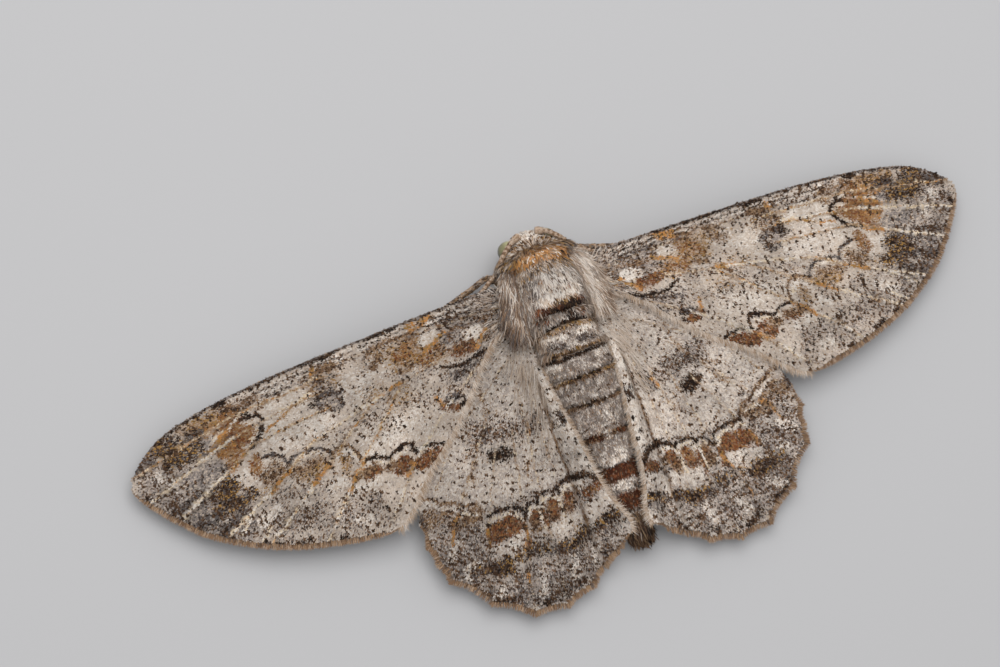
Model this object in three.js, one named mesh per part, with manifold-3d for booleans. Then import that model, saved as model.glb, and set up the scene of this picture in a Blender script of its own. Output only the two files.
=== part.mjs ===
// A geometer moth at rest with its four wings spread flat, life-size, on its own six feet.
// Millimetres. +X runs along the wingspan to the moth's right, +Y to the head, +Z up. The floor is z = 0.
// Each piece is shaped in the moth's own measures, where y = 0 lies at the height of the forewing tips,
// and the whole is then set forward so that the middle of its footprint stands at the origin.

import * as THREE from 'three';
import { mergeVertices } from 'three/addons/utils/BufferGeometryUtils.js';
import Module from 'manifold-3d';

const wasm = await Module();
wasm.setup();

// ---- Driving dimensions ------------------------------------------------------------------------------

const HALF_SPAN = 22.5;          // body's middle line to a forewing tip
const SET_FORWARD = 3.77;        // puts the middle of the footprint at y = 0
const WING_SHEET = 0.5;          // thickness of a wing's sheet
const SHEET_SHIFT = 0.15;        // a forewing's sheet lies this far above the wing skin, a hindwing's below
const GAP = 0.05;                // clearance between touching pieces
const BODY_SIDES = 20;           // facets round the body
const LEG_SIDES = 8;             // facets round a leg or feeler
const STEPS_PER_JOINT = 2;       // rings along a leg or feeler for each of its joints
const TEGULA_SIDES = 10;         // facets round a shoulder tuft
const EYE_SIDES = 12;            // facets round an eye
const EYE_RINGS = 8;             // facets from pole to pole of an eye
const DULL = 0.9;                // roughness of scales and hair
const SATIN = 0.7;               // roughness of a feeler
const GLOSSY = 0.25;             // roughness of an eye

const FOREWING_ROOT_X = 2.1;
const FOREWING_BASE_X = 2;       // where the forewing's skin has its base height
const FOREWING_BASE_HEIGHT = 2.15;
const FOREWING_FALL = 0.062;     // drop of the forewing's skin for each mm along the span
const HINDWING_ROOT_HEIGHT = 1.86;
const HINDWING_SIDE_FALL = 0.02; // drop for each mm outwards
const HINDWING_REAR_FALL = 0.07; // drop for each mm backwards
const LOBE_LIFT = 0.95;          // rise of the hindwing's inner margin along the abdomen's flank
const LOBE_REACH = 0.8;          // how far out from the inner margin that rise fades
const LOBE_START = 0.5;          // distance behind y = 0 where that rise begins
const LOBE_FULL = 2.6;           // distance behind y = 0 where it is complete
const SCALLOP_SHARE = 0.13;      // depth of the hindwing's notches, as a share of the way between vein tips

// ---- Outlines of the right wings, as x (outwards) and y (forwards) -----------------------------------

const FOREWING = {
  leading: [[FOREWING_ROOT_X, 2.9], [3.2, 3.06], [6, 3.06], [10, 2.98], [14, 2.85], [17, 2.6], [19, 2.27],
    [20.3, 1.92], [21.3, 1.38], [22.1, 0.7], [22.44, 0.2], [HALF_SPAN, 0]],
  outer: [[HALF_SPAN, 0], [22.46, -0.3], [22.15, -0.95], [21.4, -1.95], [20, -3.45], [18, -4.75],
    [16, -5.6], [14, -6.14], [12.4, -6.42], [11.6, -6.45], [11.1, -6.36]],
  inner: [[FOREWING_ROOT_X, 0.7], [3.2, 0.75], [4.2, -0.1], [5.6, -1.6], [7, -2.95], [8.6, -4.2],
    [10, -5.6], [10.6, -6.12], [11.1, -6.36]],
};

const HINDWING_VEIN_TIPS = [[10.2, -6.6], [10.35, -7.6], [10.15, -8.7], [9.85, -9.75], [8.35, -11.5],
  [6.5, -12.75], [4.7, -12.95], [3.1, -12.5], [2.0, -11.75], [1.15, -11.2], [0.42, -10.55]];

const HINDWING = {
  leading: [[2.0, 0.35], [4.6, -0.15], [7.2, -1.75], [8.9, -4.1], [9.75, -5.5], [10.2, -6.6]],
  inner: [[1.95, -0.9], [1.9, -2.2], [1.65, -3.6], [1.44, -4.8], [1.25, -6.0], [1.12, -7.2],
    [0.92, -8.3], [0.55, -9.3], [0.3, -10.0], [0.42, -10.55]],
};

// ---- Sections of the body: y, half width, half height, height of the middle --------------------------

const HEAD_STATIONS = [[3.94, 1.32, 1.15, 1.92], [4.4, 1.3, 1.13, 1.7], [4.85, 1.1, 1.0, 1.54],
  [5.2, 0.78, 0.76, 1.42], [5.4, 0.4, 0.4, 1.36]];

const THORAX_STATIONS = [[-0.3, 1.82, 1.35, 2.0], [0.15, 1.88, 1.46, 2.08], [0.45, 1.92, 1.5, 2.1],
  [1.1, 1.98, 1.62, 2.19], [1.6, 2.0, 1.68, 2.22], [2.4, 1.98, 1.66, 2.2], [3.1, 1.86, 1.52, 2.13],
  [3.6, 1.6, 1.32, 2.08], [3.88, 1.38, 1.18, 2.02]];

const ABDOMEN_STATIONS = [[-11.65, 0.55, 0.28, 0.8], [-11.2, 0.78, 0.4, 0.84], [-10.3, 0.8, 0.46, 0.88],
  [-9.4, 0.88, 0.52, 0.93], [-8.5, 1.02, 0.62, 1.03], [-7.2, 1.16, 0.85, 1.27], [-5.7, 1.3, 1.08, 1.56],
  [-4.0, 1.56, 1.25, 1.83], [-2.6, 1.78, 1.34, 1.95], [-1.4, 1.86, 1.37, 2.0], [-0.36, 1.8, 1.33, 2.0]];

const ABDOMEN_FOLDS = [-1.4, -2.6, -4.0, -5.7, -7.2, -8.5, -9.6]; // creases between the abdomen's rings
const FOLD_DEPTH = 0.05;         // share of the width lost in a crease
const FOLD_REACH = 0.16;         // half the length of a crease along the body
const FOLD_EDGE = 0.26;          // distance from a crease to the ring beside it

const COLOURS = {
  scales: 0xb3a89c,
  greyScales: 0x9c958f,
  collar: 0xa88a6c,
  eye: 0x5d6038,
  feeler: 0x6b5443,
  leg: 0x8c7a68,
};

// ---- Small helpers -----------------------------------------------------------------------------------

// A closed solid from corners and triangles, turned so that its faces point outwards.
function solidGeometry(corners, triangles) {
  let volume = 0;
  for (const [a, b, c] of triangles) {
    volume += corners[a].dot(corners[b].clone().cross(corners[c]));
  }
  const index = triangles.flatMap(([a, b, c]) => (volume > 0 ? [a, b, c] : [a, c, b]));
  const geometry = new THREE.BufferGeometry();
  const numbers = corners.flatMap((corner) => corner.toArray());
  geometry.setAttribute('position', new THREE.Float32BufferAttribute(numbers, 3));
  geometry.setIndex(index);
  return geometry;
}

// A closed solid through a list of rings with equal numbers of corners, with a fan over each end.
function loftGeometry(rings) {
  const sides = rings[0].length;
  const corners = rings.flat();
  const triangles = [];
  for (let i = 0; i < rings.length - 1; i += 1) {
    for (let j = 0; j < sides; j += 1) {
      const a = i * sides + j;
      const b = i * sides + ((j + 1) % sides);
      triangles.push([a, b, b + sides], [a, b + sides, a + sides]);
    }
  }
  for (const [first, turn] of [[0, 1], [(rings.length - 1) * sides, -1]]) {
    const middle = new THREE.Vector3();
    for (let j = 0; j < sides; j += 1) {
      middle.add(corners[first + j]);
    }
    const centre = corners.push(middle.divideScalar(sides)) - 1;
    for (let j = 0; j < sides; j += 1) {
      const a = first + j;
      const b = first + ((j + 1) % sides);
      triangles.push(turn > 0 ? [centre, b, a] : [centre, a, b]);
    }
  }
  return solidGeometry(corners, triangles);
}

// A value of a station list at y, with smooth steps between the stations. Column 0 holds y.
function stationValue(stations, y, column) {
  const last = stations.length - 1;
  const rising = stations[last][0] > stations[0][0];
  const list = rising ? stations : [...stations].reverse();
  let i = 0;
  while (i < last - 1 && y > list[i + 1][0]) {
    i += 1;
  }
  const share = THREE.MathUtils.clamp((y - list[i][0]) / (list[i + 1][0] - list[i][0]), 0, 1);
  const before = list[Math.max(i - 1, 0)];
  const after = list[Math.min(i + 2, last)];
  const slopeA = (list[i + 1][column] - before[column]) / (list[i + 1][0] - before[0]);
  const slopeB = (after[column] - list[i][column]) / (after[0] - list[i][0]);
  const length = list[i + 1][0] - list[i][0];
  const square = share * share;
  const cube = square * share;
  return list[i][column] * (2 * cube - 3 * square + 1) + list[i + 1][column] * (3 * square - 2 * cube)
    + slopeA * length * (cube - 2 * square + share) + slopeB * length * (cube - square);
}

// How much of the abdomen's width is left at y, where a crease draws it in.
function foldShare(y) {
  const nearest = Math.min(...ABDOMEN_FOLDS.map((fold) => Math.abs(y - fold)));
  return 1 - FOLD_DEPTH * Math.exp(-((nearest / FOLD_REACH) ** 2));
}

// One elliptical ring across the body at y, grown outwards by a margin.
function bodyRing(stations, y, margin, share) {
  const halfWidth = stationValue(stations, y, 1) * share + margin;
  const halfHeight = stationValue(stations, y, 2) * share + margin;
  const middle = stationValue(stations, y, 3);
  return Array.from({ length: BODY_SIDES }, (_, j) => {
    const angle = (2 * Math.PI * j) / BODY_SIDES;
    return new THREE.Vector3(halfWidth * Math.cos(angle), y, middle + halfHeight * Math.sin(angle));
  });
}

function bodyLoft(stations, places, margin = 0, shareAt = () => 1) {
  return loftGeometry(places.map((y) => bodyRing(stations, y, margin, shareAt(y))));
}

function evenSteps(from, to, steps) {
  return Array.from({ length: steps + 1 }, (_, i) => from + ((to - from) * i) / steps);
}

// ---- Wing heights ------------------------------------------------------------------------------------

function forewingHeight(x) {
  return FOREWING_BASE_HEIGHT - FOREWING_FALL * (x - FOREWING_BASE_X);
}

// The hindwing slopes outwards and backwards, and its inner margin climbs the flank of the abdomen.
function hindwingHeight(x, y) {
  const margin = stationValue(HINDWING.inner.map(([marginX, marginY]) => [marginY, marginX]), y, 1);
  const along = THREE.MathUtils.smoothstep(-y, LOBE_START, LOBE_FULL);
  const lobe = LOBE_LIFT * Math.exp(-(((x - margin) / LOBE_REACH) ** 2)) * along;
  return HINDWING_ROOT_HEIGHT - HINDWING_SIDE_FALL * x + HINDWING_REAR_FALL * y + lobe;
}

// ---- Wings -------------------------------------------------------------------------------------------

function smoothLine(points) {
  return new THREE.SplineCurve(points.map(([x, y]) => new THREE.Vector2(x, y)));
}

// The margin through the vein tips, drawn in between each two of them.
function scallopedLine(tips, stepsBetween) {
  const line = smoothLine(tips);
  const gaps = tips.length - 1;
  return evenSteps(0, 1, gaps * stepsBetween).map((t, i) => {
    const place = line.getPoint(t);
    const along = line.getTangent(t);
    const k = Math.min(Math.floor(i / stepsBetween), gaps - 1);
    const reach = Math.hypot(tips[k + 1][0] - tips[k][0], tips[k + 1][1] - tips[k][1]);
    const inset = SCALLOP_SHARE * reach * Math.abs(Math.sin((Math.PI * i) / stepsBetween));
    return place.add(new THREE.Vector2(along.y, -along.x).multiplyScalar(inset));
  });
}

// A sheet over the patch between four edges: leading and inner run from the root, root and outer across.
function wingSheet(edges, heightAt) {
  const { leading, inner, root, outer } = edges;
  const spans = leading.length - 1;
  const chords = root.length - 1;
  const top = [];
  for (let i = 0; i <= spans; i += 1) {
    for (let j = 0; j <= chords; j += 1) {
      const u = i / spans;
      const v = j / chords;
      const place = leading[i].clone().multiplyScalar(1 - v).addScaledVector(inner[i], v)
        .addScaledVector(root[j], 1 - u).addScaledVector(outer[j], u)
        .addScaledVector(root[0], -(1 - u) * (1 - v)).addScaledVector(root[chords], -(1 - u) * v)
        .addScaledVector(outer[0], -u * (1 - v)).addScaledVector(outer[chords], -u * v);
      top.push(new THREE.Vector3(place.x, place.y, heightAt(place.x, place.y) + WING_SHEET / 2));
    }
  }
  const bottom = top.map((p) => new THREE.Vector3(p.x, p.y, p.z - WING_SHEET));
  const count = top.length;
  const triangles = [];
  const at = (i, j) => i * (chords + 1) + j;
  for (let i = 0; i < spans; i += 1) {
    for (let j = 0; j < chords; j += 1) {
      const [a, b, c, d] = [at(i, j), at(i + 1, j), at(i + 1, j + 1), at(i, j + 1)];
      triangles.push([a, c, b], [a, d, c]);
      triangles.push([a + count, b + count, c + count], [a + count, c + count, d + count]);
    }
  }
  const rim = [];
  for (let i = 0; i < spans; i += 1) {
    rim.push(at(i, 0));
  }
  for (let j = 0; j < chords; j += 1) {
    rim.push(at(spans, j));
  }
  for (let i = spans; i > 0; i -= 1) {
    rim.push(at(i, chords));
  }
  for (let j = chords; j > 0; j -= 1) {
    rim.push(at(0, j));
  }
  rim.forEach((a, k) => {
    const b = rim[(k + 1) % rim.length];
    triangles.push([a, b, b + count], [a, b + count, a + count]);
  });
  return solidGeometry([...top, ...bottom], triangles);
}

function forewingGeometry() {
  const spans = 20;
  const chords = 8;
  const root = evenSteps(0, 1, chords).map((t) => new THREE.Vector2(...FOREWING.leading[0])
    .lerp(new THREE.Vector2(...FOREWING.inner[0]), t));
  return wingSheet({
    leading: smoothLine(FOREWING.leading).getSpacedPoints(spans),
    inner: smoothLine(FOREWING.inner).getSpacedPoints(spans),
    root,
    outer: smoothLine(FOREWING.outer).getSpacedPoints(chords),
  }, (x) => forewingHeight(x) + SHEET_SHIFT);
}

// The inner margin stays beside the abdomen or above it, whichever the abdomen's surface there allows.
function clearOfAbdomen(place) {
  const underside = hindwingHeight(place.x, place.y) - SHEET_SHIFT - WING_SHEET / 2;
  const middle = stationValue(ABDOMEN_STATIONS, place.y, 3);
  const halfHeight = stationValue(ABDOMEN_STATIONS, place.y, 2);
  const halfWidth = stationValue(ABDOMEN_STATIONS, place.y, 1);
  const rise = Math.max(underside - GAP - middle, 0) / halfHeight;
  const side = rise < 1 ? halfWidth * Math.sqrt(1 - rise * rise) + GAP : 0;
  return new THREE.Vector2(Math.max(place.x, side), place.y);
}

function hindwingGeometry() {
  const spans = 8;
  const stepsPerScallop = 3;
  const outer = scallopedLine(HINDWING_VEIN_TIPS, stepsPerScallop);
  const chords = outer.length - 1;
  const inner = smoothLine(HINDWING.inner).getSpacedPoints(spans).map(clearOfAbdomen);
  const leading = smoothLine(HINDWING.leading).getSpacedPoints(spans);
  return wingSheet({
    leading,
    inner,
    root: evenSteps(0, 1, chords).map((t) => leading[0].clone().lerp(inner[0], t)),
    outer,
  }, (x, y) => hindwingHeight(x, y) - SHEET_SHIFT);
}

// ---- Legs, feelers and palps -------------------------------------------------------------------------

// A limb through its joints, [x, y, z, radius] each; where it lies on the floor its underside is flat.
function limbGeometry(joints) {
  const steps = STEPS_PER_JOINT * (joints.length - 1);
  const places = joints.map(([x, y, z]) => new THREE.Vector3(x, y, z));
  const line = new THREE.CatmullRomCurve3(places, false, 'centripetal');
  const up = new THREE.Vector3(0, 0, 1);
  const rings = evenSteps(0, 1, steps).map((t) => {
    const centre = line.getPoint(t);
    const along = line.getTangent(t);
    const side = along.clone().cross(up).normalize();
    const over = side.clone().cross(along).normalize();
    const place = t * (joints.length - 1);
    const i = Math.min(Math.floor(place), joints.length - 2);
    const radius = THREE.MathUtils.lerp(joints[i][3], joints[i + 1][3], place - i);
    return Array.from({ length: LEG_SIDES }, (_, k) => {
      const angle = (2 * Math.PI * (k + 0.5)) / LEG_SIDES;
      const corner = centre.clone().addScaledVector(side, radius * Math.cos(angle))
        .addScaledVector(over, radius * Math.sin(angle));
      corner.z = Math.max(corner.z, 0);
      return corner;
    });
  });
  return loftGeometry(rings);
}

const LEGS = {
  foreleg: [[1.05, 2.85, 0.46, 0.3], [1.75, 3.35, 0.62, 0.3], [2.33, 3.8, 0.76, 0.28],
    [3.3, 3.58, 0.68, 0.26], [4.4, 3.3, 0.5, 0.26], [5.4, 3.0, 0.22, 0.26], [7.0, 2.4, 0.2, 0.25]],
  midleg: [[1.3, 1.5, 0.46, 0.32], [2.6, 1.75, 0.9, 0.32], [4.3, 1.6, 1.0, 0.3], [5.7, 0.8, 0.66, 0.26],
    [6.7, 0.2, 0.24, 0.26], [8.4, -0.8, 0.2, 0.25]],
  hindleg: [[1.3, 0.2, 0.46, 0.32], [2.4, -0.6, 0.82, 0.32], [3.5, -1.7, 0.85, 0.3],
    [3.9, -3.8, 0.62, 0.26], [4.0, -5.3, 0.24, 0.26], [4.3, -7.2, 0.2, 0.25]],
};

const ANTENNA = [[0.42, 5.0, 2.66, 0.25], [1.0, 4.76, 2.55, 0.25], [1.6, 4.26, 2.3, 0.26],
  [2.05, 3.75, 2.0, 0.26], [2.6, 3.4, 1.77, 0.26], [3.4, 3.0, 1.62, 0.26], [5.5, 2.45, 1.45, 0.26],
  [8.0, 1.9, 1.3, 0.25], [10.2, 1.3, 1.16, 0.25]];

const PALP = [[0.34, 4.6, 0.28, 0.25], [0.33, 4.95, 0.29, 0.26], [0.32, 5.3, 0.48, 0.25]];

// ---- Solids that are cut clear of their neighbours ---------------------------------------------------

function toManifold(geometry) {
  const bare = geometry.clone();
  bare.deleteAttribute('normal');
  bare.deleteAttribute('uv');
  const merged = mergeVertices(bare, 1e-5);
  return new wasm.Manifold(new wasm.Mesh({
    numProp: 3,
    vertProperties: merged.attributes.position.array,
    triVerts: new Uint32Array(merged.index.array),
  }));
}

function cutGeometry(geometry, cutters) {
  let body = toManifold(geometry);
  for (const cutter of cutters) {
    body = body.subtract(toManifold(cutter));
  }
  const mesh = body.getMesh();
  const cut = new THREE.BufferGeometry();
  cut.setAttribute('position', new THREE.BufferAttribute(new Float32Array(mesh.vertProperties), 3));
  cut.setIndex(new THREE.BufferAttribute(new Uint32Array(mesh.triVerts), 1));
  return cut;
}

// Where the rings of the three parts of the body stand along y.
const HEAD_PLACES = evenSteps(3.94, 5.4, 6);
const THORAX_PLACES = evenSteps(-0.3, 3.88, 10);
const ABDOMEN_PLACES = [-11.65, -11.2, -10.4, ...[...ABDOMEN_FOLDS].reverse()
  .flatMap((fold) => [fold - FOLD_EDGE, fold, fold + FOLD_EDGE]), -0.8, -0.36];

const EYE = { middle: [1.02, 4.62, 1.58], radii: [0.52, 0.5, 0.58] };

// The ball of an eye, without the part of it that the head holds.
function eyeGeometry() {
  const ball = new THREE.SphereGeometry(1, EYE_SIDES, EYE_RINGS);
  ball.scale(...EYE.radii).translate(...EYE.middle);
  return cutGeometry(ball, [bodyLoft(HEAD_STATIONS, HEAD_PLACES, GAP)]);
}

// The tegula: a flat tuft of long hair, from the shoulder back over the root of the forewing.
// Each entry is y, x and z of the middle, half width, half thickness.
const TEGULA = [[3.45, 1.45, 2.95, 0.3, 0.22], [3.1, 1.7, 3.08, 0.62, 0.3], [2.3, 2.05, 3.05, 0.86, 0.34],
  [1.3, 2.35, 2.95, 0.92, 0.34], [0.5, 2.5, 2.84, 0.84, 0.3], [-0.1, 2.55, 2.78, 0.5, 0.24]];
const TEGULA_TILT = THREE.MathUtils.degToRad(-30);

function tegulaGeometry(forewing) {
  const tilt = new THREE.Vector2(Math.cos(TEGULA_TILT), Math.sin(TEGULA_TILT));
  const angles = Array.from({ length: TEGULA_SIDES }, (_, k) => (2 * Math.PI * k) / TEGULA_SIDES);
  const rings = TEGULA.map(([y, x, z, halfWidth, halfHeight]) => angles.map((angle) => {
    const across = halfWidth * Math.cos(angle);
    const over = halfHeight * Math.sin(angle);
    return new THREE.Vector3(x + across * tilt.x - over * tilt.y, y, z + across * tilt.y + over * tilt.x);
  }));
  const wingRoom = forewing.clone().translate(0, 0, GAP);
  const thoraxRoom = bodyLoft(THORAX_STATIONS, THORAX_PLACES, GAP);
  return cutGeometry(loftGeometry(rings), [thoraxRoom, forewing, wingRoom]);
}

// ---- The moth ----------------------------------------------------------------------------------------

function mirrored(geometry) {
  const position = geometry.attributes.position;
  const corners = [];
  for (let i = 0; i < position.count; i += 1) {
    corners.push(new THREE.Vector3(-position.getX(i), position.getY(i), position.getZ(i)));
  }
  const index = geometry.index.array;
  const triangles = [];
  for (let i = 0; i < index.length; i += 3) {
    triangles.push([index[i], index[i + 1], index[i + 2]]);
  }
  return solidGeometry(corners, triangles);
}

const moth = new THREE.Group();
moth.position.y = SET_FORWARD;

function addPiece(name, geometry, color, roughness = DULL) {
  const material = new THREE.MeshStandardMaterial({ color, roughness, metalness: 0 });
  const piece = new THREE.Mesh(geometry, material);
  piece.name = name;
  moth.add(piece);
}

function addPair(name, geometry, color, roughness) {
  addPiece(`${name}_right`, geometry, color, roughness);
  addPiece(`${name}_left`, mirrored(geometry), color, roughness);
}

addPiece('head', bodyLoft(HEAD_STATIONS, HEAD_PLACES), COLOURS.collar);
addPiece('thorax', bodyLoft(THORAX_STATIONS, THORAX_PLACES), COLOURS.scales);
addPiece('abdomen', bodyLoft(ABDOMEN_STATIONS, ABDOMEN_PLACES, 0, foldShare), COLOURS.greyScales);

const forewing = forewingGeometry();
addPair('forewing', forewing, COLOURS.scales);
addPair('hindwing', hindwingGeometry(), COLOURS.scales);
addPair('tegula', tegulaGeometry(forewing), COLOURS.scales);
addPair('eye', eyeGeometry(), COLOURS.eye, GLOSSY);
addPair('palp', limbGeometry(PALP), COLOURS.leg);
addPair('antenna', limbGeometry(ANTENNA), COLOURS.feeler, SATIN);
for (const [name, joints] of Object.entries(LEGS)) {
  addPair(name, limbGeometry(joints), COLOURS.leg);
}

export default moth;
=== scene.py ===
"""A geometer moth at rest with its wings spread flat, life-size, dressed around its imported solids.

Everything is shaped in the moth's own millimetres: x runs outwards to its right, y towards the head with
y = 0 level with the forewing tips, and z up from the floor. The bench turns these into the frame's metres.
"""

import logging
import math
from dataclasses import dataclass, replace
from enum import Enum
from typing import Sequence

import bpy
import numpy as np
from mathutils import Matrix, Vector


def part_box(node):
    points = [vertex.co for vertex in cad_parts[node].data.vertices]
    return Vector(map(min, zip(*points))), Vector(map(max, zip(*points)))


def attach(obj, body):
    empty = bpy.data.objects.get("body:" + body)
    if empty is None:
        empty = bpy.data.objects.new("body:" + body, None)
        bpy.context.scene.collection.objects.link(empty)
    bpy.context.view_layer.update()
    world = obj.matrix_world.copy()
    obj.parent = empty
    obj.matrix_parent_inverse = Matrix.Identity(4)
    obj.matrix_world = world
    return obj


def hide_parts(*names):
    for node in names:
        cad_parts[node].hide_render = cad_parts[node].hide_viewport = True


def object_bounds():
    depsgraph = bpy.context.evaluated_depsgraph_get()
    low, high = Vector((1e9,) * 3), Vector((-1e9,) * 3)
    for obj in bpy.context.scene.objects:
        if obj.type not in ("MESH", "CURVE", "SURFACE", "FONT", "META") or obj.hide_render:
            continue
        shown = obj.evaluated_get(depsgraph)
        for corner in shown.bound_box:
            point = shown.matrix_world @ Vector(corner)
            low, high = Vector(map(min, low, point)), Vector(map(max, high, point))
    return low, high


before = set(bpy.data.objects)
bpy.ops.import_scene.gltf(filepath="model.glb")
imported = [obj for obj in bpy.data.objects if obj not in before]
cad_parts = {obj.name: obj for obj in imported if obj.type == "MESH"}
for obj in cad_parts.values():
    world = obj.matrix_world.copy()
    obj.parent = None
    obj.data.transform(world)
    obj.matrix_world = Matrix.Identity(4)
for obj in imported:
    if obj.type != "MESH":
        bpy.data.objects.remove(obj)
SOLID_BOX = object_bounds()

Array = np.ndarray
Path = Sequence[Sequence[float]]
UP = (0.0, 0.0, 1.0)
log = logging.getLogger("moth")

# ---- Measures that tie the moth to its solids -----------------------------------------------------------

HALF_SPAN = 22.5          # middle line to a forewing tip
HEAD_FRONT = 5.4          # y of the front of the head's solid


class Side(Enum):
    """Which half of the moth a piece belongs to; the value turns +x outwards."""

    RIGHT = 1.0
    LEFT = -1.0

    def named(self, stem: str) -> str:
        """Adds the side to a name."""
        return f"{stem}_{self.name.lower()}"


class Tint(Enum):
    """Colours of the scales, as sRGB."""

    PALE = "cdbaa8"
    WHITE = "e7dcd1"
    CREAM = "e2cdb0"
    BEIGE = "b79e88"
    TAN = "a08263"
    GREY = "8f837a"
    LAVENDER = "a2968f"
    SLATE = "625a57"
    BROWN = "7d6049"
    UMBER = "4a3526"
    BLACK = "231913"
    RUST = "75452b"
    CLAY = "93683f"
    CHESTNUT = "432316"
    ORANGE = "c58b50"
    OCHRE = "a47d46"

    @property
    def light(self) -> Array:
        """The colour in linear light."""
        srgb = np.array([int(self.value[k:k + 2], 16) for k in (0, 2, 4)]) / 255.0
        return np.where(srgb <= 0.04045, srgb / 12.92, ((srgb + 0.055) / 1.055) ** 2.4)


# ---- Curves, fields and noise ---------------------------------------------------------------------------


def smooth(value: Array, low: float, high: float) -> Array:
    """Eases from 0 at low to 1 at high, as 3t^2 - 2t^3."""
    t = np.clip((value - low) / (high - low), 0.0, 1.0)
    return t * t * (3.0 - 2.0 * t)


def bell(value: Array, reach: float) -> Array:
    """A bump of height 1 round 0, as exp(-(value / reach)^2)."""
    return np.exp(-((value / reach) ** 2))


def unit(vectors: Array) -> Array:
    """Scales each vector to length 1."""
    return vectors / np.maximum(np.linalg.norm(vectors, axis=-1, keepdims=True), 1e-12)


def sideways(along: Array) -> Array:
    """Turns level directions a quarter to their right."""
    return np.stack([along[:, 1], -along[:, 0]], axis=1)


def catmull(points: Path, place: Array) -> Array:
    """Carries a Catmull-Rom curve through points.

    The slope at each point is half the step between its neighbours, and a cubic joins each two points.

    Args:
        points: The points, in order.
        place: Places along the curve, where whole numbers are the points.

    Returns:
        One row of coordinates for each place.
    """
    knots = np.asarray(points, float)
    padded = np.vstack([knots[:1], knots, knots[-1:]])
    cell = np.clip(place.astype(int), 0, len(knots) - 2)
    t = (place - cell)[:, None]
    before, start, end, after = (padded[cell + k] for k in range(4))
    return 0.5 * (2 * start + (end - before) * t + (2 * before - 5 * start + 4 * end - after) * t ** 2
                  + (3 * start - before - 3 * end + after) * t ** 3)


def curve_through(points: Path, count: int) -> Array:
    """Places count points on the curve through the given ones, at equal steps of its length."""
    fine = catmull(points, np.linspace(0, len(points) - 1, 24 * (len(points) - 1) + 1))
    length = np.concatenate([[0.0], np.cumsum(np.linalg.norm(np.diff(fine, axis=0), axis=1))])
    wanted = np.linspace(0.0, length[-1], count)
    return np.stack([np.interp(wanted, length, column) for column in fine.T], axis=1)


def through(stations: Array, place: Array) -> Array:
    """Reads a table of stations at each place, with cubic steps between its rows.

    Args:
        stations: Rows of a rising place followed by the values there.
        place: Where to read it.

    Returns:
        The values, one row for each place.
    """
    at, values = stations[:, 0], stations[:, 1:]
    slope = np.gradient(values, at, axis=0, edge_order=1)
    cell = np.clip(np.searchsorted(at, place) - 1, 0, len(at) - 2)
    span = (at[cell + 1] - at[cell])[..., None]
    t = np.clip((place - at[cell])[..., None] / span, 0.0, 1.0)
    return (values[cell] * (2 * t ** 3 - 3 * t ** 2 + 1) + values[cell + 1] * (3 * t ** 2 - 2 * t ** 3)
            + slope[cell] * span * (t ** 3 - 2 * t ** 2 + t) + slope[cell + 1] * span * (t ** 3 - t ** 2))


WORD = 0xFFFFFFFF         # the hash keeps 32 bits
BY_ROW, BY_COLUMN, BY_SEED, AGAIN = 374761393, 668265263, 69069, 1274126177


def dice(row: Array, column: Array, seed: int) -> Array:
    """One number from 0 to 1 for each whole-number cell, from an integer hash of its place."""
    mixed = (row.astype(np.int64) * BY_ROW + column.astype(np.int64) * BY_COLUMN + seed * BY_SEED) & WORD
    mixed = ((mixed ^ (mixed >> 13)) * AGAIN) & WORD
    return ((mixed ^ (mixed >> 16)) & 0xFFFFFF) / float(0x1000000)


def clouds(x: Array, y: Array, cell: float, seed: int) -> Array:
    """Soft noise from 0 to 1: random numbers on a square lattice with smooth steps between them."""
    column, row = np.floor(x / cell), np.floor(y / cell)
    u = smooth(x / cell - column, 0.0, 1.0)
    v = smooth(y / cell - row, 0.0, 1.0)
    near = dice(row, column, seed) * (1 - u) + dice(row, column + 1, seed) * u
    far = dice(row + 1, column, seed) * (1 - u) + dice(row + 1, column + 1, seed) * u
    return near * (1 - v) + far * v


def spots(x: Array, y: Array, cell: float, radius: float, share: Array, seed: int) -> Array:
    """Tells which places lie in small spots that stand in rows along y.

    Some cells of a lattice, cell wide and 0.7 cell high, hold a spot. It stands near the middle of the cell's
    width, anywhere along its height, and is a little longer along y than it is wide.

    Args:
        x: First coordinate.
        y: Second coordinate.
        cell: Width of the lattice's cells.
        radius: Radius of a middling spot.
        share: The share of cells that hold a spot, at each place.
        seed: Which arrangement to draw.

    Returns:
        True inside a spot.
    """
    high = 0.7 * cell
    column, row = np.floor(x / cell), np.floor(y / high)
    found = np.zeros(x.shape, bool)
    for i in (-1, 0, 1):
        for j in (-1, 0, 1):
            c, r = column + i, row + j
            dx = x - (c + 0.3 + 0.4 * dice(r, c, seed)) * cell
            dy = y - (r + 0.1 + 0.8 * dice(r, c, seed + 1)) * high
            size = radius * (0.5 + 1.2 * dice(r, c, seed + 2) ** 2)
            found |= (np.hypot(1.25 * dx, 0.8 * dy) < size) & (dice(r, c, seed + 3) < share)
    return found


def drawn(tints: Sequence[Tint], x: Array, y: Array, rng: np.random.Generator, cell: float = 0.13,
          contrast: float = 0.75) -> Array:
    """Draws one of the tints for each place, half by chance and half by soft noise, so that like ones gather.

    Args:
        tints: The tints, each as likely as it is often listed.
        x: First coordinate.
        y: Second coordinate.
        rng: Draws each place's own chance.
        cell: Size of the noise's cells.
        contrast: How far each colour keeps from the mean of all.

    Returns:
        Linear colours.
    """
    ladder = np.array(sorted((tint.light for tint in tints), key=np.sum))
    ladder = ladder.mean(axis=0) + (ladder - ladder.mean(axis=0)) * contrast
    share = smooth(0.5 * rng.random(x.shape) + 0.5 * clouds(x, y, cell, 5), 0.12, 0.88)
    return ladder[np.minimum((share * len(ladder)).astype(int), len(ladder) - 1)]


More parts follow.
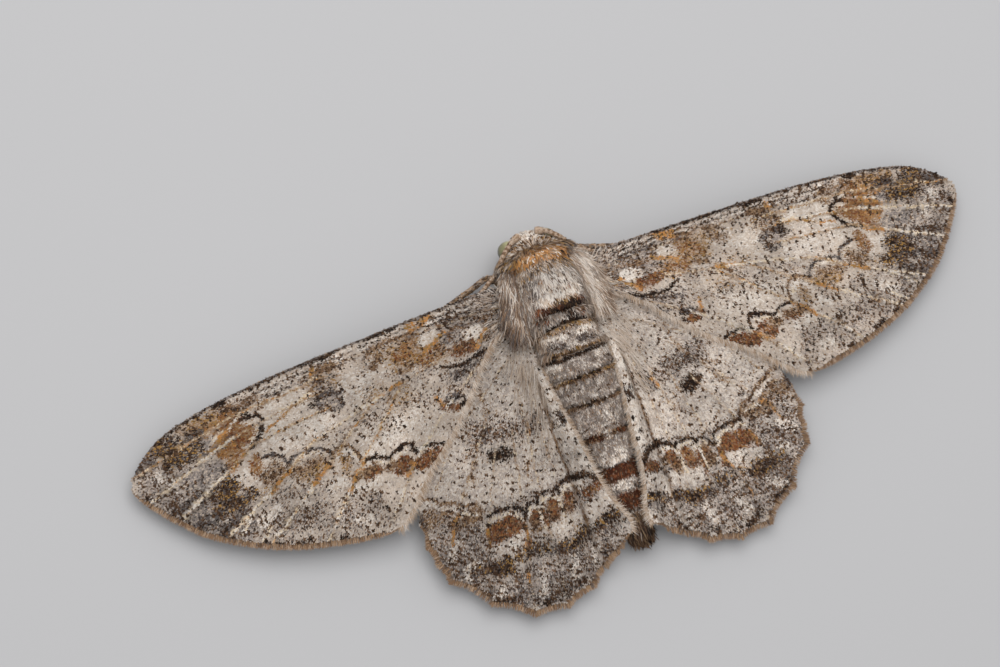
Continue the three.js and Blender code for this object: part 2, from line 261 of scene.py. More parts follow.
def from_path(x: Array, y: Array, path: Path) -> Array:
    """Distance of each place from a line of straight stretches through the path's points."""
    knots = np.asarray(path, float)
    if len(knots) == 1:
        return np.hypot(x - knots[0, 0], y - knots[0, 1])
    best = np.full(x.shape, np.inf)
    for (ax, ay), (bx, by) in zip(knots[:-1], knots[1:]):
        share = np.clip(((x - ax) * (bx - ax) + (y - ay) * (by - ay)) / ((bx - ax) ** 2 + (by - ay) ** 2),
                        0, 1)
        best = np.minimum(best, np.hypot(x - ax - share * (bx - ax), y - ay - share * (by - ay)))
    return best


def inside(x: Array, y: Array, outline: Array) -> Array:
    """Tells which places lie inside a closed outline, by counting the edges that a level ray crosses."""
    hit = np.zeros(x.shape, bool)
    for (ax, ay), (bx, by) in zip(outline, np.roll(outline, -1, axis=0)):
        if ay != by:
            hit ^= ((ay > y) != (by > y)) & (x < (bx - ax) * (y - ay) / (by - ay) + ax)
    return hit


# ---- Meshes ---------------------------------------------------------------------------------------------


@dataclass
class Shell:
    """Points and faces of one piece, and where it has them a colour and an unwrapped place for each point."""

    points: Array
    faces: list[Array]
    tints: Array | None = None
    places: Array | None = None

    def on(self, side: Side) -> "Shell":
        """Gives the shell for one side; the left one is reflected, and its faces turned outwards again."""
        if side is Side.RIGHT:
            return self
        return replace(self, points=self.points * (-1, 1, 1), faces=[f[:, ::-1] for f in self.faces])


def join(shells: Sequence[Shell]) -> Shell:
    """Puts several shells into one."""
    starts = np.cumsum([0] + [len(s.points) for s in shells])
    faces = [f + start for s, start in zip(shells, starts) for f in s.faces]
    tints = None if shells[0].tints is None else np.vstack([s.tints for s in shells])
    places = None if shells[0].places is None else np.vstack([s.places for s in shells])
    return Shell(np.vstack([s.points for s in shells]), faces, tints, places)


def grid_faces(rows: int, columns: int, wrap: bool = False) -> Array:
    """Lists the quads between neighbouring points of a grid; with wrap the last column meets the first."""
    row, column = np.meshgrid(np.arange(rows - 1), np.arange(columns if wrap else columns - 1),
                              indexing="ij")
    a = (row * columns + column).ravel()
    b = (row * columns + (column + 1) % columns).ravel()
    return np.stack([a, b, b + columns, a + columns], axis=1)


def closed_tube(rings: Array, tints: Array | None = None) -> Shell:
    """Closes a tube of rings with a point at each end.

    Args:
        rings: Points as (ring, place round it, xyz), turning clockwise seen from the far end.
        tints: One colour for each ring.

    Returns:
        The shell, its faces outwards.
    """
    count, sides = rings.shape[:2]
    points = np.vstack([rings.reshape(-1, 3), rings[0].mean(0), rings[-1].mean(0)])
    j = np.arange(sides)
    following = (j + 1) % sides
    last = (count - 1) * sides
    near = np.stack([np.full(sides, count * sides), j, following], axis=1)
    far = np.stack([np.full(sides, count * sides + 1), last + following, last + j], axis=1)
    colours = None if tints is None else np.vstack([np.repeat(tints, sides, axis=0), tints[:1], tints[-1:]])
    return Shell(points, [grid_faces(count, sides, wrap=True)[:, ::-1], near, far], colours)


def upright(path: Array) -> tuple[Array, Array, Array]:
    """Directions at each point of a path: along it, level and square to it, and square to both."""
    along = unit(np.gradient(path, axis=0))
    level = unit(np.cross(along, UP))
    return along, level, np.cross(level, along)


def tube_along(path: Array, wide: Array, high: Array, sides: int) -> Array:
    """Carries an oval section along a path, kept upright.

    At each point the section's first axis lies level and square to the path, and its second is square to
    both, so a ring is path + wide * cos(a) * first + high * sin(a) * second.
    """
    _, level, over = upright(path)
    angle = np.arange(sides) * (math.tau / sides)
    return (path[:, None] + (wide[:, None] * np.cos(angle))[..., None] * level[:, None]
            + (high[:, None] * np.sin(angle))[..., None] * over[:, None])


# ---- Scales and hair ------------------------------------------------------------------------------------


class Cut(Enum):
    """Outline of a scale or hair, as rows of (share of the length, share of the full width)."""

    SCALE = ((0.0, 0.5), (0.72, 1.0))
    NARROW = ((0.0, 0.5), (0.5, 1.0), (0.85, 0.7))
    HAIR = ((0.0, 0.8), (0.4, 1.0), (0.75, 0.65))


PATCH = 0.003             # how much of the unwrapped skin one scale takes
SEEN_AT = 0.6             # how far along a scale the markings are read
SEAM, ACROSS = 0.02, 0.96  # what stays free beside an unwrapped tube's seam, and what the tube takes


@dataclass
class Growth:
    """Many scales or hairs, each a thin curved vane that lies along the skin from its root.

    A vane's middle line is root + along * L t + normal * L (lift t - droop t^2) + across * L bend t^2 for t
    from 0 to 1, and its width follows the cut.
    """

    roots: Array
    normals: Array
    along: Array
    length: Array
    width: Array
    lift: Array
    droop: Array
    roll: Array
    bend: Array
    tints: Array
    places: Array
    cut: Cut = Cut.SCALE
    root_shade: float = 0.72

    def shell(self) -> Shell:
        """Builds all the vanes as whole arrays."""
        across = unit(np.cross(self.along, self.normals))
        turned = across * np.cos(self.roll)[:, None] + self.normals * np.sin(self.roll)[:, None]
        corners, colours, places = [], [], []
        rows = (*self.cut.value, (1.0, 0.0))
        for share, spread in rows:
            rise = self.length * (self.lift * share - self.droop * share ** 2)
            middle = (self.roots + self.along * (self.length * share)[:, None] + self.normals * rise[:, None]
                      + across * (self.length * self.bend * share ** 2)[:, None])
            # Each vane darkens towards its root: painted shade where the vanes above cover it, and the
            # fringes' own darker base.
            shade = self.root_shade + (1.0 - self.root_shade) * min(1.0, 1.6 * share)
            for hand in ((-1, 1) if spread else (0,)):
                corners.append(middle + turned * (self.width * (hand * spread / 2))[:, None])
                colours.append(self.tints * shade)
                places.append(self.places + (PATCH * hand / 2, PATCH * (share - 0.5)))
        each, count = len(corners), len(self.roots)
        first = np.arange(count)[:, None] * each
        quads = [first + (2 * k, 2 * k + 1, 2 * k + 3, 2 * k + 2) for k in range(len(rows) - 2)]
        tips = first + (each - 3, each - 2, each - 1)

        def packed(parts: list[Array]) -> Array:
            """Puts the corners of each vane one after another."""
            return np.stack(parts, axis=1).reshape(count * each, -1)

        return Shell(packed(corners), [np.vstack(quads), tips], packed(colours), packed(places))


@dataclass(frozen=True)
class Lie:
    """How a coat grows: sizes in millimetres, slopes as rise over length, and how much each varies."""

    length: float
    width: float
    lift: float
    droop: float
    stray: float = 0.15
    sweep: float = 0.0
    vary: float = 0.2
    roll: float = 0.15
    cut: Cut = Cut.SCALE
    root_shade: float = 0.72

    def grow(self, roots: Array, normals: Array, along: Array, tints: Array, places: Array,
             rng: np.random.Generator, scale: Array | float = 1.0) -> Growth:
        """Gives each root its own vane.

        Args:
            roots: Where the vanes start.
            normals: The skin's outward directions there.
            along: The way the coat lies, which is then laid into the skin.
            tints: A colour for each.
            places: The root's place on the unwrapped skin.
            rng: Draws the variation.
            scale: A share of the full length and width, for each or for all.

        Returns:
            The growth.
        """
        count = len(roots)

        def spread(amount: float) -> Array:
            """Draws how far each vane departs from the usual."""
            return rng.normal(0.0, amount, count)

        flat = unit(along - normals * np.sum(along * normals, axis=1, keepdims=True))
        swept = self.sweep * (2.0 * clouds(roots[:, 0], roots[:, 1], 0.45, 11) - 1.0)
        turned = unit(flat + np.cross(normals, flat) * (spread(self.stray) + swept)[:, None])
        size = np.clip(1.0 + spread(self.vary), 0.5, 1.6) * scale
        return Growth(roots, normals, turned, self.length * size, self.width * np.sqrt(size),
                      self.lift * (1 + spread(0.3)), self.droop * (1 + spread(0.3)), spread(self.roll),
                      spread(self.stray), tints, places, self.cut, self.root_shade)


# ---- Markings -------------------------------------------------------------------------------------------


class Mix(Enum):
    """Scales that grow together, each colour as often as it is listed."""

    LINE = (Tint.BLACK, Tint.BLACK, Tint.UMBER)
    SOOT = (Tint.BLACK, Tint.SLATE, Tint.UMBER, Tint.SLATE)
    SMOKE = (Tint.BROWN, Tint.GREY, Tint.SLATE, Tint.LAVENDER)
    # Pale scales along the veins: their own paler colour and painted highlight on the vein ridges.
    RIDGE = (Tint.CREAM, Tint.BEIGE, Tint.TAN)
    EARTH = (Tint.UMBER, Tint.BROWN, Tint.BROWN, Tint.TAN)
    BRICK = (Tint.RUST, Tint.RUST, Tint.BROWN, Tint.UMBER, Tint.CLAY)
    CLAY = (Tint.CLAY, Tint.CLAY, Tint.CLAY, Tint.TAN, Tint.RUST, Tint.BROWN)
    AMBER = (Tint.ORANGE, Tint.ORANGE, Tint.OCHRE, Tint.TAN)
    HONEY = (Tint.ORANGE, Tint.ORANGE, Tint.ORANGE, Tint.CLAY, Tint.OCHRE, Tint.BEIGE)
    GILT = (Tint.UMBER, Tint.UMBER, Tint.BLACK, Tint.OCHRE, Tint.SLATE)
    SAND = (Tint.TAN, Tint.OCHRE, Tint.BEIGE, Tint.UMBER)
    MIST = (Tint.LAVENDER, Tint.LAVENDER, Tint.GREY, Tint.SLATE, Tint.PALE)
    SNOW = (Tint.WHITE, Tint.WHITE, Tint.PALE)
    PEARL = (Tint.CREAM, Tint.WHITE)
    MOUSE = (Tint.GREY, Tint.SLATE, Tint.LAVENDER, Tint.UMBER)
    RED = (Tint.CHESTNUT, Tint.CHESTNUT, Tint.RUST, Tint.UMBER)


@dataclass(frozen=True)
class Mark:
    """A stroke or patch in which a share of the scales takes the colours of a mix.

    Scales nearer to the path than reach take them; over a soft edge the share falls to nothing.
    """

    mix: Mix
    share: float
    reach: float
    soft: float
    path: Path


@dataclass(frozen=True)
class Pattern:
    """The markings of one part: a mixed ground, marks laid over it in order, and rows of specks.

    The rows of specks run round a centre, evenly spaced where they are a radius away from it.
    """

    ground: tuple[Tint, ...]
    marks: tuple[Mark, ...]
    centre: tuple[float, float]
    radius: float
    speck_cell: float = 0.34
    speck_radius: float = 0.058
    speck_share: float = 0.72
    ragged: float = 0.12
    dusk: float = 0.04
    stain: float = 0.6
    blotch: float = 0.11
    contrast: float = 0.6

    def paint(self, x: Array, y: Array, rng: np.random.Generator, seed: int, strength: float = 1.0) -> Array:
        """Colours each place as one scale.

        A place takes a mark's colour when its own random number lies under share * (1 + 2 (1 - share) n),
        where n is soft noise from -1 to 1, so that like scales gather. The others are only stained by it.
        Specks stand in rows over the whole part, and closer together in smoky patches.

        Args:
            x: Outward coordinate.
            y: Forward coordinate.
            rng: Draws each scale's own numbers.
            seed: Which arrangement of noise and specks to use.
            strength: How strongly the marks show.

        Returns:
            Linear colours.
        """
        wander_x = x + self.ragged * (clouds(x, y, 0.42, seed) + 0.6 * clouds(x, y, 0.17, seed + 5) - 0.8)
        drift = clouds(x, y, 0.42, seed + 9) + 0.6 * clouds(x, y, 0.17, seed + 13) - 0.8
        wander_y = y + self.ragged * drift
        gathered = clouds(x, y, 0.48, seed + 17)
        murk = np.zeros(x.shape)
        colour = drawn(self.ground, x, y, rng, self.blotch, self.contrast)
        dusky = rng.random(x.shape) < strength * self.dusk * (2.0 * clouds(x, y, 0.3, seed + 7)) ** 2
        colour = np.where(dusky[:, None], drawn((Tint.BROWN, Tint.TAN, Tint.GREY), x, y, rng), colour)
        for step, mark in enumerate(self.marks):
            away = from_path(wander_x, wander_y, mark.path) - mark.reach
            share = strength * mark.share * (1.0 - smooth(away, -mark.soft, mark.soft))
            if mark.mix is Mix.SMOKE:
                murk = np.maximum(murk, share * (0.5 + 1.4 * gathered))
                share = 0.65 * share
            shared = gathered + clouds(x + 7.31 * step, y, 0.19, seed + 3) - 1.0
            hit = rng.random(x.shape) < share * (1.0 + 2.0 * (1.0 - share) * shared)
            blend = np.where(hit, 1.0, self.stain * share)[:, None]
            colour = colour + (drawn(mark.mix.value, x, y, rng, self.blotch, 1.0) - colour) * blend
        dark = strength * self.speck_share * (0.5 + clouds(x, y, 1.7, seed + 21))
        out, forward = x - self.centre[0], y - self.centre[1]
        away = np.hypot(out, forward) + 0.5 * clouds(x, y, 1.3, seed + 25)
        turn = np.arctan2(forward, out) * self.radius
        speck = spots(away, turn, self.speck_cell, self.speck_radius, dark, seed + 31)
        speck |= spots(away, turn, 0.62 * self.speck_cell, self.speck_radius, 1.1 * murk, seed + 35)
        speck &= rng.random(x.shape) < 0.85
        black = drawn((Tint.BLACK, Tint.UMBER, Tint.UMBER, Tint.BROWN), x, y, rng)
        colour = np.where(speck[:, None], black, colour)
        # Here the factor is only the scales' own tone, varying at random over the part.
        tone_and_painted_shade = 0.92 + 0.06 * rng.random(x.shape) + 0.36 * (clouds(x, y, 1.2, seed + 41) - 0.5)
        tone_and_painted_shade += 0.22 * (clouds(x, y, 0.5, seed + 43) - 0.5)
        return np.clip(colour * tone_and_painted_shade[:, None], 0.0, 1.0)


def strokes(*rows: tuple) -> tuple[Mark, ...]:
    """Lists marks from rows of a mix, share, reach and soft edge, each followed by the paths of its marks."""
    return tuple(Mark(*row[:4], path) for row in rows for path in row[4:])


FOREWING_VEINS = (
    ((12, 1.9), (17, 1.6), (22.2, 0.5)), ((12.2, 1.3), (17, 0.7), (21.9, -0.9)),
    ((12.2, 0.4), (16.3, 0), (17.8, -0.75), (21, -2.3)),
    ((11.5, -0.4), (13.8, -1), (15, -1.75), (16.2, -2.4), (19.3, -3.9)),
    ((10.3, -0.2), (13.1, -2.1), (14.1, -2.8), (17.3, -4.9)),
    ((8.6, 0.1), (11.9, -2.9), (12.7, -3.7), (14.7, -5.8)),
    ((2.6, 0.9), (6.2, -1.2), (9.3, -3.6), (11.3, -5.9)), ((2.3, 2.1), (8, 2.3), (13, 2.2)),
    ((2.3, 1.5), (6, 0.75), (10, -0.05), (12, -0.5)))

FOREWING_PATTERN = Pattern(contrast=0.5, centre=(-9, 3), radius=21, ground=(
    Tint.PALE, Tint.PALE, Tint.PALE, Tint.WHITE, Tint.LAVENDER), marks=strokes(
    # broad fields
    (Mix.MOUSE, 0.5, 0.7, 0.5, ((2.6, 2.1), (5.2, 2.1)), ((3.2, 1), (4.2, -0.4), (5.8, -0.6))),
    (Mix.SMOKE, 0.55, 0.4, 0.25, ((3.2, 1.9), (5.6, 1.7)), ((4.9, 1.35), (6, 1.2))),
    (Mix.SAND, 0.6, 0.45, 0.3, ((7.2, 2.1), (8.2, 1.8)), ((6.3, 1.1), (7.2, 1.1)), ((7.5, 1.5), (8.3, 1.2))),
    (Mix.CLAY, 0.42, 0.4, 0.3, ((7.2, 2), (8, 1.5)), ((6.4, 1.1), (7, 1))),
    (Mix.SAND, 0.34, 0.4, 0.3, ((8.8, 2), (9.8, 1.7)), ((11.5, 1.7), (12.6, 1.7)),
     ((8.4, -0.4), (9.2, -0.6))),
    (Mix.SNOW, 0.7, 0.22, 0.15, ((6.2, 2.05), (6.8, 1.85))),
    (Mix.SMOKE, 0.25, 0.35, 0.3, ((6.6, 0.2), (7.6, 0.3), (8.4, 0.5)), ((6.9, -0.7), (8.6, -1))),
    (Mix.SNOW, 0.45, 0.6, 0.35, ((13.6, 1.3), (14.7, 1.1), (15, 0.5)), ((12.8, -0.1), (15.2, -0.2))),
    (Mix.SMOKE, 0.2, 0.7, 0.6, ((9.6, -1), (12.4, -1.2)), ((14, -2.9), (16, -3.6))),
    (Mix.SAND, 0.3, 0.3, 0.3, ((9.6, 0.4), (10.4, 0.3)), ((13.6, -1.9), (14.4, -2.3)),
     ((16, -1.9), (16.6, -2.4))),
    (Mix.SNOW, 0.4, 0.6, 0.5, ((8.3, -1.7), (11.2, -2)), ((9.8, 1.4), (10.8, 0.8))),
    (Mix.SMOKE, 0.5, 1, 0.7, ((21.2, 0.8), (20.9, -0.7), (19.9, -2), (18.2, -3.3), (16.6, -4.4))),
    (Mix.MOUSE, 0.3, 1.2, 0.6, ((20.8, 0.8), (20, -1.4), (18.4, -2.8))),
    (Mix.MOUSE, 0.45, 0.4, 0.4, ((21.7, -0.3), (20.7, -1.9), (19, -3.3), (17.6, -4.1))),
    (Mix.SNOW, 0.4, 0.22, 0.2, ((21.2, 0.2), (20.4, -0.6)), ((19.4, -2.7), (18.8, -2.9)),
     ((17.6, -1.2), (17.2, -1.7))),
    (Mix.SMOKE, 0.56, 0.56, 0.36, ((11.9, -4.6), (13.1, -4.7)), ((14, -4.4), (15.8, -4.3))),
    (Mix.SMOKE, 0.3, 0.4, 0.4, ((11.4, -5.6), (14.8, -5.4)), ((15.6, -2.9), (16.6, -3.1))),
    (Mix.SNOW, 0.6, 0.26, 0.15, ((12.4, -5.4), (12.8, -5.2)), ((11.5, -3.85), (12.6, -3.75)),
     ((16.4, -3.3), (17.2, -3.7)), ((12.9, -3.1), (13.4, -3.3)), ((12, -2.05), (12.6, -2.1)),
     ((16.7, -1.6), (17.1, -1.2))),
    (Mix.MIST, 0.85, 0.45, 0.2, ((18.3, -0.5), (19.7, -0.55))),
    (Mix.MIST, 0.85, 0.24, 0.2, ((18.3, 1.25), (18.6, 0.6)), ((19.2, -2.1), (20.1, -2.3))),
    # Pale lines along the inner veins: their own pale scales and painted highlight on the vein ridges.
    (Mix.RIDGE, 0.6, 0.045, 0.05, *FOREWING_VEINS[6:]),
    # leading edge
    (Mix.SMOKE, 0.4, 0.34, 0.16, ((3, 2.6), (10, 2.45), (16, 2.15), (19.5, 1.75))),
    (Mix.SNOW, 0.5, 0.05, 0.06, ((3.6, 2.82), (8, 2.77), (12, 2.62), (15.6, 2.42)), ((4, 2.57), (8, 2.53)),
     ((9.3, 2.5), (12, 2.35), (15.6, 2.18))),
    (Mix.LINE, 0.5, 0.035, 0.05, ((3.6, 2.69), (8, 2.65), (12, 2.48), (15.4, 2.3)),
     ((4, 2.45), (7.8, 2.43)), ((12.9, 2.04), (14.9, 1.96))),
    (Mix.SOOT, 0.66, 0.1, 0.12, ((3.5, 2.25), (4.4, 2.2)), ((4.9, 2.3), (5.5, 2.25))),
    (Mix.EARTH, 0.6, 0.2, 0.15, ((15.4, 2.1), (16.2, 2)), ((9, 1.9), (9.5, 1.5)),
     ((16.6, 2.15), (17.4, 2.1))),
    (Mix.EARTH, 0.8, 0.09, 0.1, ((7.2, 2.42), (8.3, 2.4)), ((8.4, 2.5), (9.3, 2.25), (9.7, 2))),
    (Mix.MOUSE, 0.9, 0.11, 0.05, ((2.4, 2.98), (6, 3.04), (10, 2.96), (14, 2.83), (17, 2.58), (19, 2.25),
                                  (20.3, 1.9), (21.3, 1.36), (22.1, 0.68))),
    (Mix.LINE, 0.4, 0.07, 0.06, ((2.4, 2.94), (6, 2.99), (10, 2.92), (14, 2.78), (17, 2.53), (19, 2.2),
                                 (20.3, 1.85))),
    (Mix.LINE, 0.85, 0.1, 0.08, ((7.9, 2.93), (9.3, 2.9)), ((11.3, 2.78), (12.2, 2.72)),
     ((16.8, 2.42), (17.5, 2.35))),
    (Mix.LINE, 0.85, 0.07, 0.07, ((6.4, 2.96),), ((10.4, 2.84),), ((13.6, 2.72),), ((14.5, 2.66),),
     ((15.4, 2.58),), ((18.5, 2.2),), ((19.3, 2),)),
    (Mix.EARTH, 0.8, 0.2, 0.12, ((11.4, 2.25), (12.1, 2.2))),
    (Mix.AMBER, 0.78, 0.1, 0.08, ((6.1, 2.82), (7.2, 2.75)), ((12.35, 2.45), (12.5, 2.1)),
     ((6.4, 2.6), (7.1, 2.48))),
    # root
    (Mix.SNOW, 0.97, 0.26, 0.1, ((4, 1.42), (4.6, 1.34))),
    (Mix.EARTH, 0.6, 0.08, 0.1, ((3, 1.92), (5.4, 1.75)), ((3, 1.25), (3.9, 0.8))),
    (Mix.BRICK, 0.86, 0.3, 0.12, ((4.6, 0.75), (5.5, 0.76))),
    (Mix.AMBER, 0.78, 0.1, 0.06, ((3.7, 1.3), (4, 0.95), (4.4, 0.55))),
    (Mix.LINE, 0.95, 0.075, 0.07, ((3.4, 0.42), (4, 0.34), (4.7, 0.16), (5.3, 0.04), (5.9, 0.06),
                                   (6.4, 0.36))),
    (Mix.SOOT, 0.6, 0.09, 0.1, ((5, -0.1), (6, -0.42))),
    (Mix.EARTH, 0.9, 0.11, 0.1, ((7.7, 0.86), (8.3, 0.72))),
    (Mix.AMBER, 0.8, 0.1, 0.07, ((5.65, 1.85), (6.3, 1.62), (6.9, 1.3))),
    (Mix.EARTH, 0.85, 0.08, 0.09, ((8.95, 0.2), (9.3, -0.2))),
    (Mix.AMBER, 0.8, 0.08, 0.07, ((8.6, 0.3), (9.3, 0.1), (10.1, -0.05))),
    (Mix.SOOT, 0.85, 0.2, 0.14, ((6.1, -1.3), (6.7, -1.4))),
    (Mix.LINE, 0.85, 0.11, 0.1, ((5.85, -1.65), (6.4, -1.82))),
    (Mix.BRICK, 0.85, 0.2, 0.12, ((6.4, -1.8), (7, -1.6))),
    (Mix.AMBER, 0.85, 0.1, 0.08, ((7.2, -1), (7, -1.45))),
    (Mix.AMBER, 0.6, 0.06, 0.05, ((13, 1.35), (14, 1), (14.6, 0.7), (15.5, 0.4))),
    # middle spot
    (Mix.SMOKE, 0.55, 0.5, 0.3, ((12, 0.75), (12.4, 0.8)), ((12.2, 1.5),)),
    (Mix.MIST, 0.7, 0.22, 0.2, ((11.9, 0.5), (12.4, 0.75))),
    (Mix.SOOT, 0.62, 0.13, 0.1, ((11.4, 0.75), (11.8, 1.05), (12.5, 1.08)),
     ((11.5, 0.4), (11.8, 0.15), (12.2, 0.2))),
    (Mix.LINE, 0.6, 0.13, 0.12, ((12.6, 0.95), (12.95, 0.75))),
    (Mix.EARTH, 0.85, 0.06, 0.08, ((12, 1.85), (12.6, 1.62), (12.85, 1.3))),
    # outer line
    (Mix.LINE, 0.96, 0.1, 0.07, ((16.5, 1.3), (15.95, 1.34), (15.5, 1.2), (15.4, 0.92), (15.6, 0.6),
                                 (15.85, 0.3), (16.15, 0.02), (16.5, -0.14))),
    (Mix.LINE, 0.85, 0.09, 0.08, ((17.1, 2.05), (16.5, 1.92), (16.15, 1.66), (16, 1.4))),
    (Mix.EARTH, 0.8, 0.07, 0.1, ((15, 1.75), (15.6, 1.45)), ((15.6, 1.9), (16, 1.75))),
    (Mix.SOOT, 0.95, 0.08, 0.07, ((16, -0.75), (15.6, -0.82), (15.2, -1.02), (15.02, -1.45)),
     ((15, -1.5), (14.8, -1.32), (14.3, -1.22), (13.7, -1.14), (13.3, -1.28), (13.05, -1.6), (13, -2.05))),
    (Mix.EARTH, 0.95, 0.08, 0.07, ((13, -2.05), (12.85, -1.75), (12.4, -1.5), (11.95, -1.62), (11.72, -2),
                                   (11.65, -2.6))),
    (Mix.LINE, 0.95, 0.1, 0.07, ((11.65, -2.62), (11.2, -2.66), (10.8, -2.8), (10.4, -2.95), (10, -2.76),
                                 (9.5, -2.6), (9.2, -2.7), (9.08, -3)),
     ((9.05, -3.2), (8.5, -3), (7.8, -3.14), (7.45, -3.4))),
    # patches beyond it
    (Mix.CLAY, 0.88, 0.46, 0.2, ((16.9, 1.5), (18.4, 1.6))),
    (Mix.CLAY, 0.92, 0.58, 0.16, ((16.75, 0.68), (17.6, 0.38))),
    (Mix.BRICK, 0.3, 0.3, 0.3, ((17, 1.5), (18.2, 1.6)), ((16.7, 0.6), (17.2, 0.2))),
    (Mix.AMBER, 0.3, 0.3, 0.3, ((17.6, 1.6), (18.4, 1.5)), ((17.4, 0.5), (17.9, 0.1))),
    (Mix.PEARL, 0.6, 0.05, 0.06, ((16.3, 1.08), (15.8, 0.95), (15.85, 0.65), (16.3, 0.2)),
     ((16.4, 1.5), (17.2, 1.08), (18, 0.95)), ((15.8, -1), (15.35, -1.25), (15.25, -1.6)),
     ((14.75, -1.6), (14.2, -1.42), (13.65, -1.36), (13.3, -1.7)),
     ((12.75, -1.95), (12.35, -1.72), (12, -1.95), (11.9, -2.4)), ((8.9, -3.1), (8.3, -3.22), (7.8, -3.4)),
     ((10.9, -3.02), (10.4, -3.15), (9.9, -2.98), (9.45, -2.85))),
    (Mix.CLAY, 0.8, 0.28, 0.2, ((16.1, 0.75), (16.6, 0.45)), ((17, -0.15), (17.5, -0.5)),
     ((16.4, -0.75), (16.6, -1.3))),
    (Mix.SAND, 0.6, 0.28, 0.15, ((17.6, 1.95), (19.2, 1.75))),
    (Mix.EARTH, 0.7, 0.34, 0.2, ((13.7, -1.8), (14.8, -2)), ((15.6, -1.5), (16.2, -1.8))),
    (Mix.SAND, 0.62, 0.26, 0.2, ((12.4, -2.3), (12.5, -2.8)), ((13.3, -2.1), (14.4, -2.3))),
    (Mix.BRICK, 0.92, 0.34, 0.12, ((8.1, -3.6), (9.1, -3.75)), ((9.75, -3.4), (10.05, -3.7))),
    (Mix.EARTH, 0.85, 0.22, 0.15, ((10.3, -3.3), (10.6, -3.4)), ((11.1, -3.2), (12.2, -3.25))),
    (Mix.BRICK, 0.5, 0.16, 0.15, ((11.1, -3.3), (11.7, -3.5))),
    (Mix.GILT, 0.88, 0.58, 0.3, ((19.2, 0.85), (20.1, 0.8)), ((18.1, -1.6), (18.5, -2.1))),
    (Mix.GILT, 0.7, 0.3, 0.2, ((17.2, -2.2), (18, -2.5)), ((20, 1.5), (20.8, 1.4))),
    (Mix.SOOT, 0.7, 0.32, 0.15, ((19.2, -1.5), (20.4, -1.8)), ((19, -2.6), (20.1, -2.85)),
     ((18, -3), (19.2, -3.5)), ((18.6, 1.45), (19, 1.4)), ((21.3, 0.85), (21.7, 0.7))),
    (Mix.LINE, 0.9, 0.1, 0.1, ((21, -1.7), (21.1, -1.85)), ((18.85, -3.85), (19, -3.9)),
     ((21.9, -0.6), (22, -0.75)), ((20, -2.85), (20.1, -3)), ((15.3, -5.35), (15.9, -5.2)),
     ((13.6, -5.85), (13.9, -5.8)), ((12.6, -6),), ((16.7, -4.95), (17, -4.8)), ((17.4, -4.6),),
     ((21.7, 1.1),), ((11.4, -5.2),)),
    # pale and orange veins
    # Darker bands along the veins' outer ends, under the narrower pale lines that follow: painted shade
    # beside the vein ridges.
    (Mix.MOUSE, 0.4, 0.13, 0.1, *(vein[-2:] for vein in FOREWING_VEINS[1:6])),
    # Pale lines along the veins: their own pale scales and painted highlight on the vein ridges.
    (Mix.RIDGE, 0.75, 0.05, 0.05, *FOREWING_VEINS[:6]),
    (Mix.AMBER, 0.25, 0.03, 0.04, *FOREWING_VEINS[:6]),
    (Mix.PEARL, 0.6, 0.055, 0.05, *(vein[-2:] for vein in FOREWING_VEINS[1:6])),
    (Mix.PEARL, 0.7, 0.055, 0.06, ((18.3, -0.95), (19.2, -1.4), (20.6, -2)), ((14.4, -3.1), (15.2, -3.6)),
     ((16.8, -3.95), (17.5, -4.5)), ((17, -2.75), (18.4, -3.9)), ((10.2, -4.5), (11.1, -5.6)),
     ((9.2, 0.1), (11, -0.25), (12.9, -0.75)), ((6.4, -1.35), (8.6, -3), (9, -3.35)),
     ((12.8, 1.4), (14.4, 1.1))),
    (Mix.AMBER, 0.8, 0.08, 0.07, ((17.2, 1.1), (17.8, 0.8), (18.3, 0.45)), ((16.9, -0.35), (17.75, -0.85)),
     ((15.1, -1.8), (15.6, -2.05), (16.3, -2.5)), ((13.3, -2.25), (13.9, -2.65), (14.2, -2.92)),
     ((12.05, -3.05), (12.4, -3.4), (12.7, -3.8)), ((11.65, -2.75), (11.85, -2.95)),
     ((9.35, -3.6), (9.9, -4.1))),
))

HINDWING_VEINS = (
    ((3, -0.4), (7.5, -3.4), (10.35, -7.6)), ((5, -2.6), (8.4, -6.9), (9.85, -9.75)),
    ((5.3, -4.3), (7, -7.7), (8.35, -11.5)), ((4.2, -3.6), (5.2, -8), (6.5, -12.75)),
    ((3.2, -2), (4.1, -7.8), (4.7, -12.95)), ((2.6, -1), (3, -6), (3.1, -12.5)))

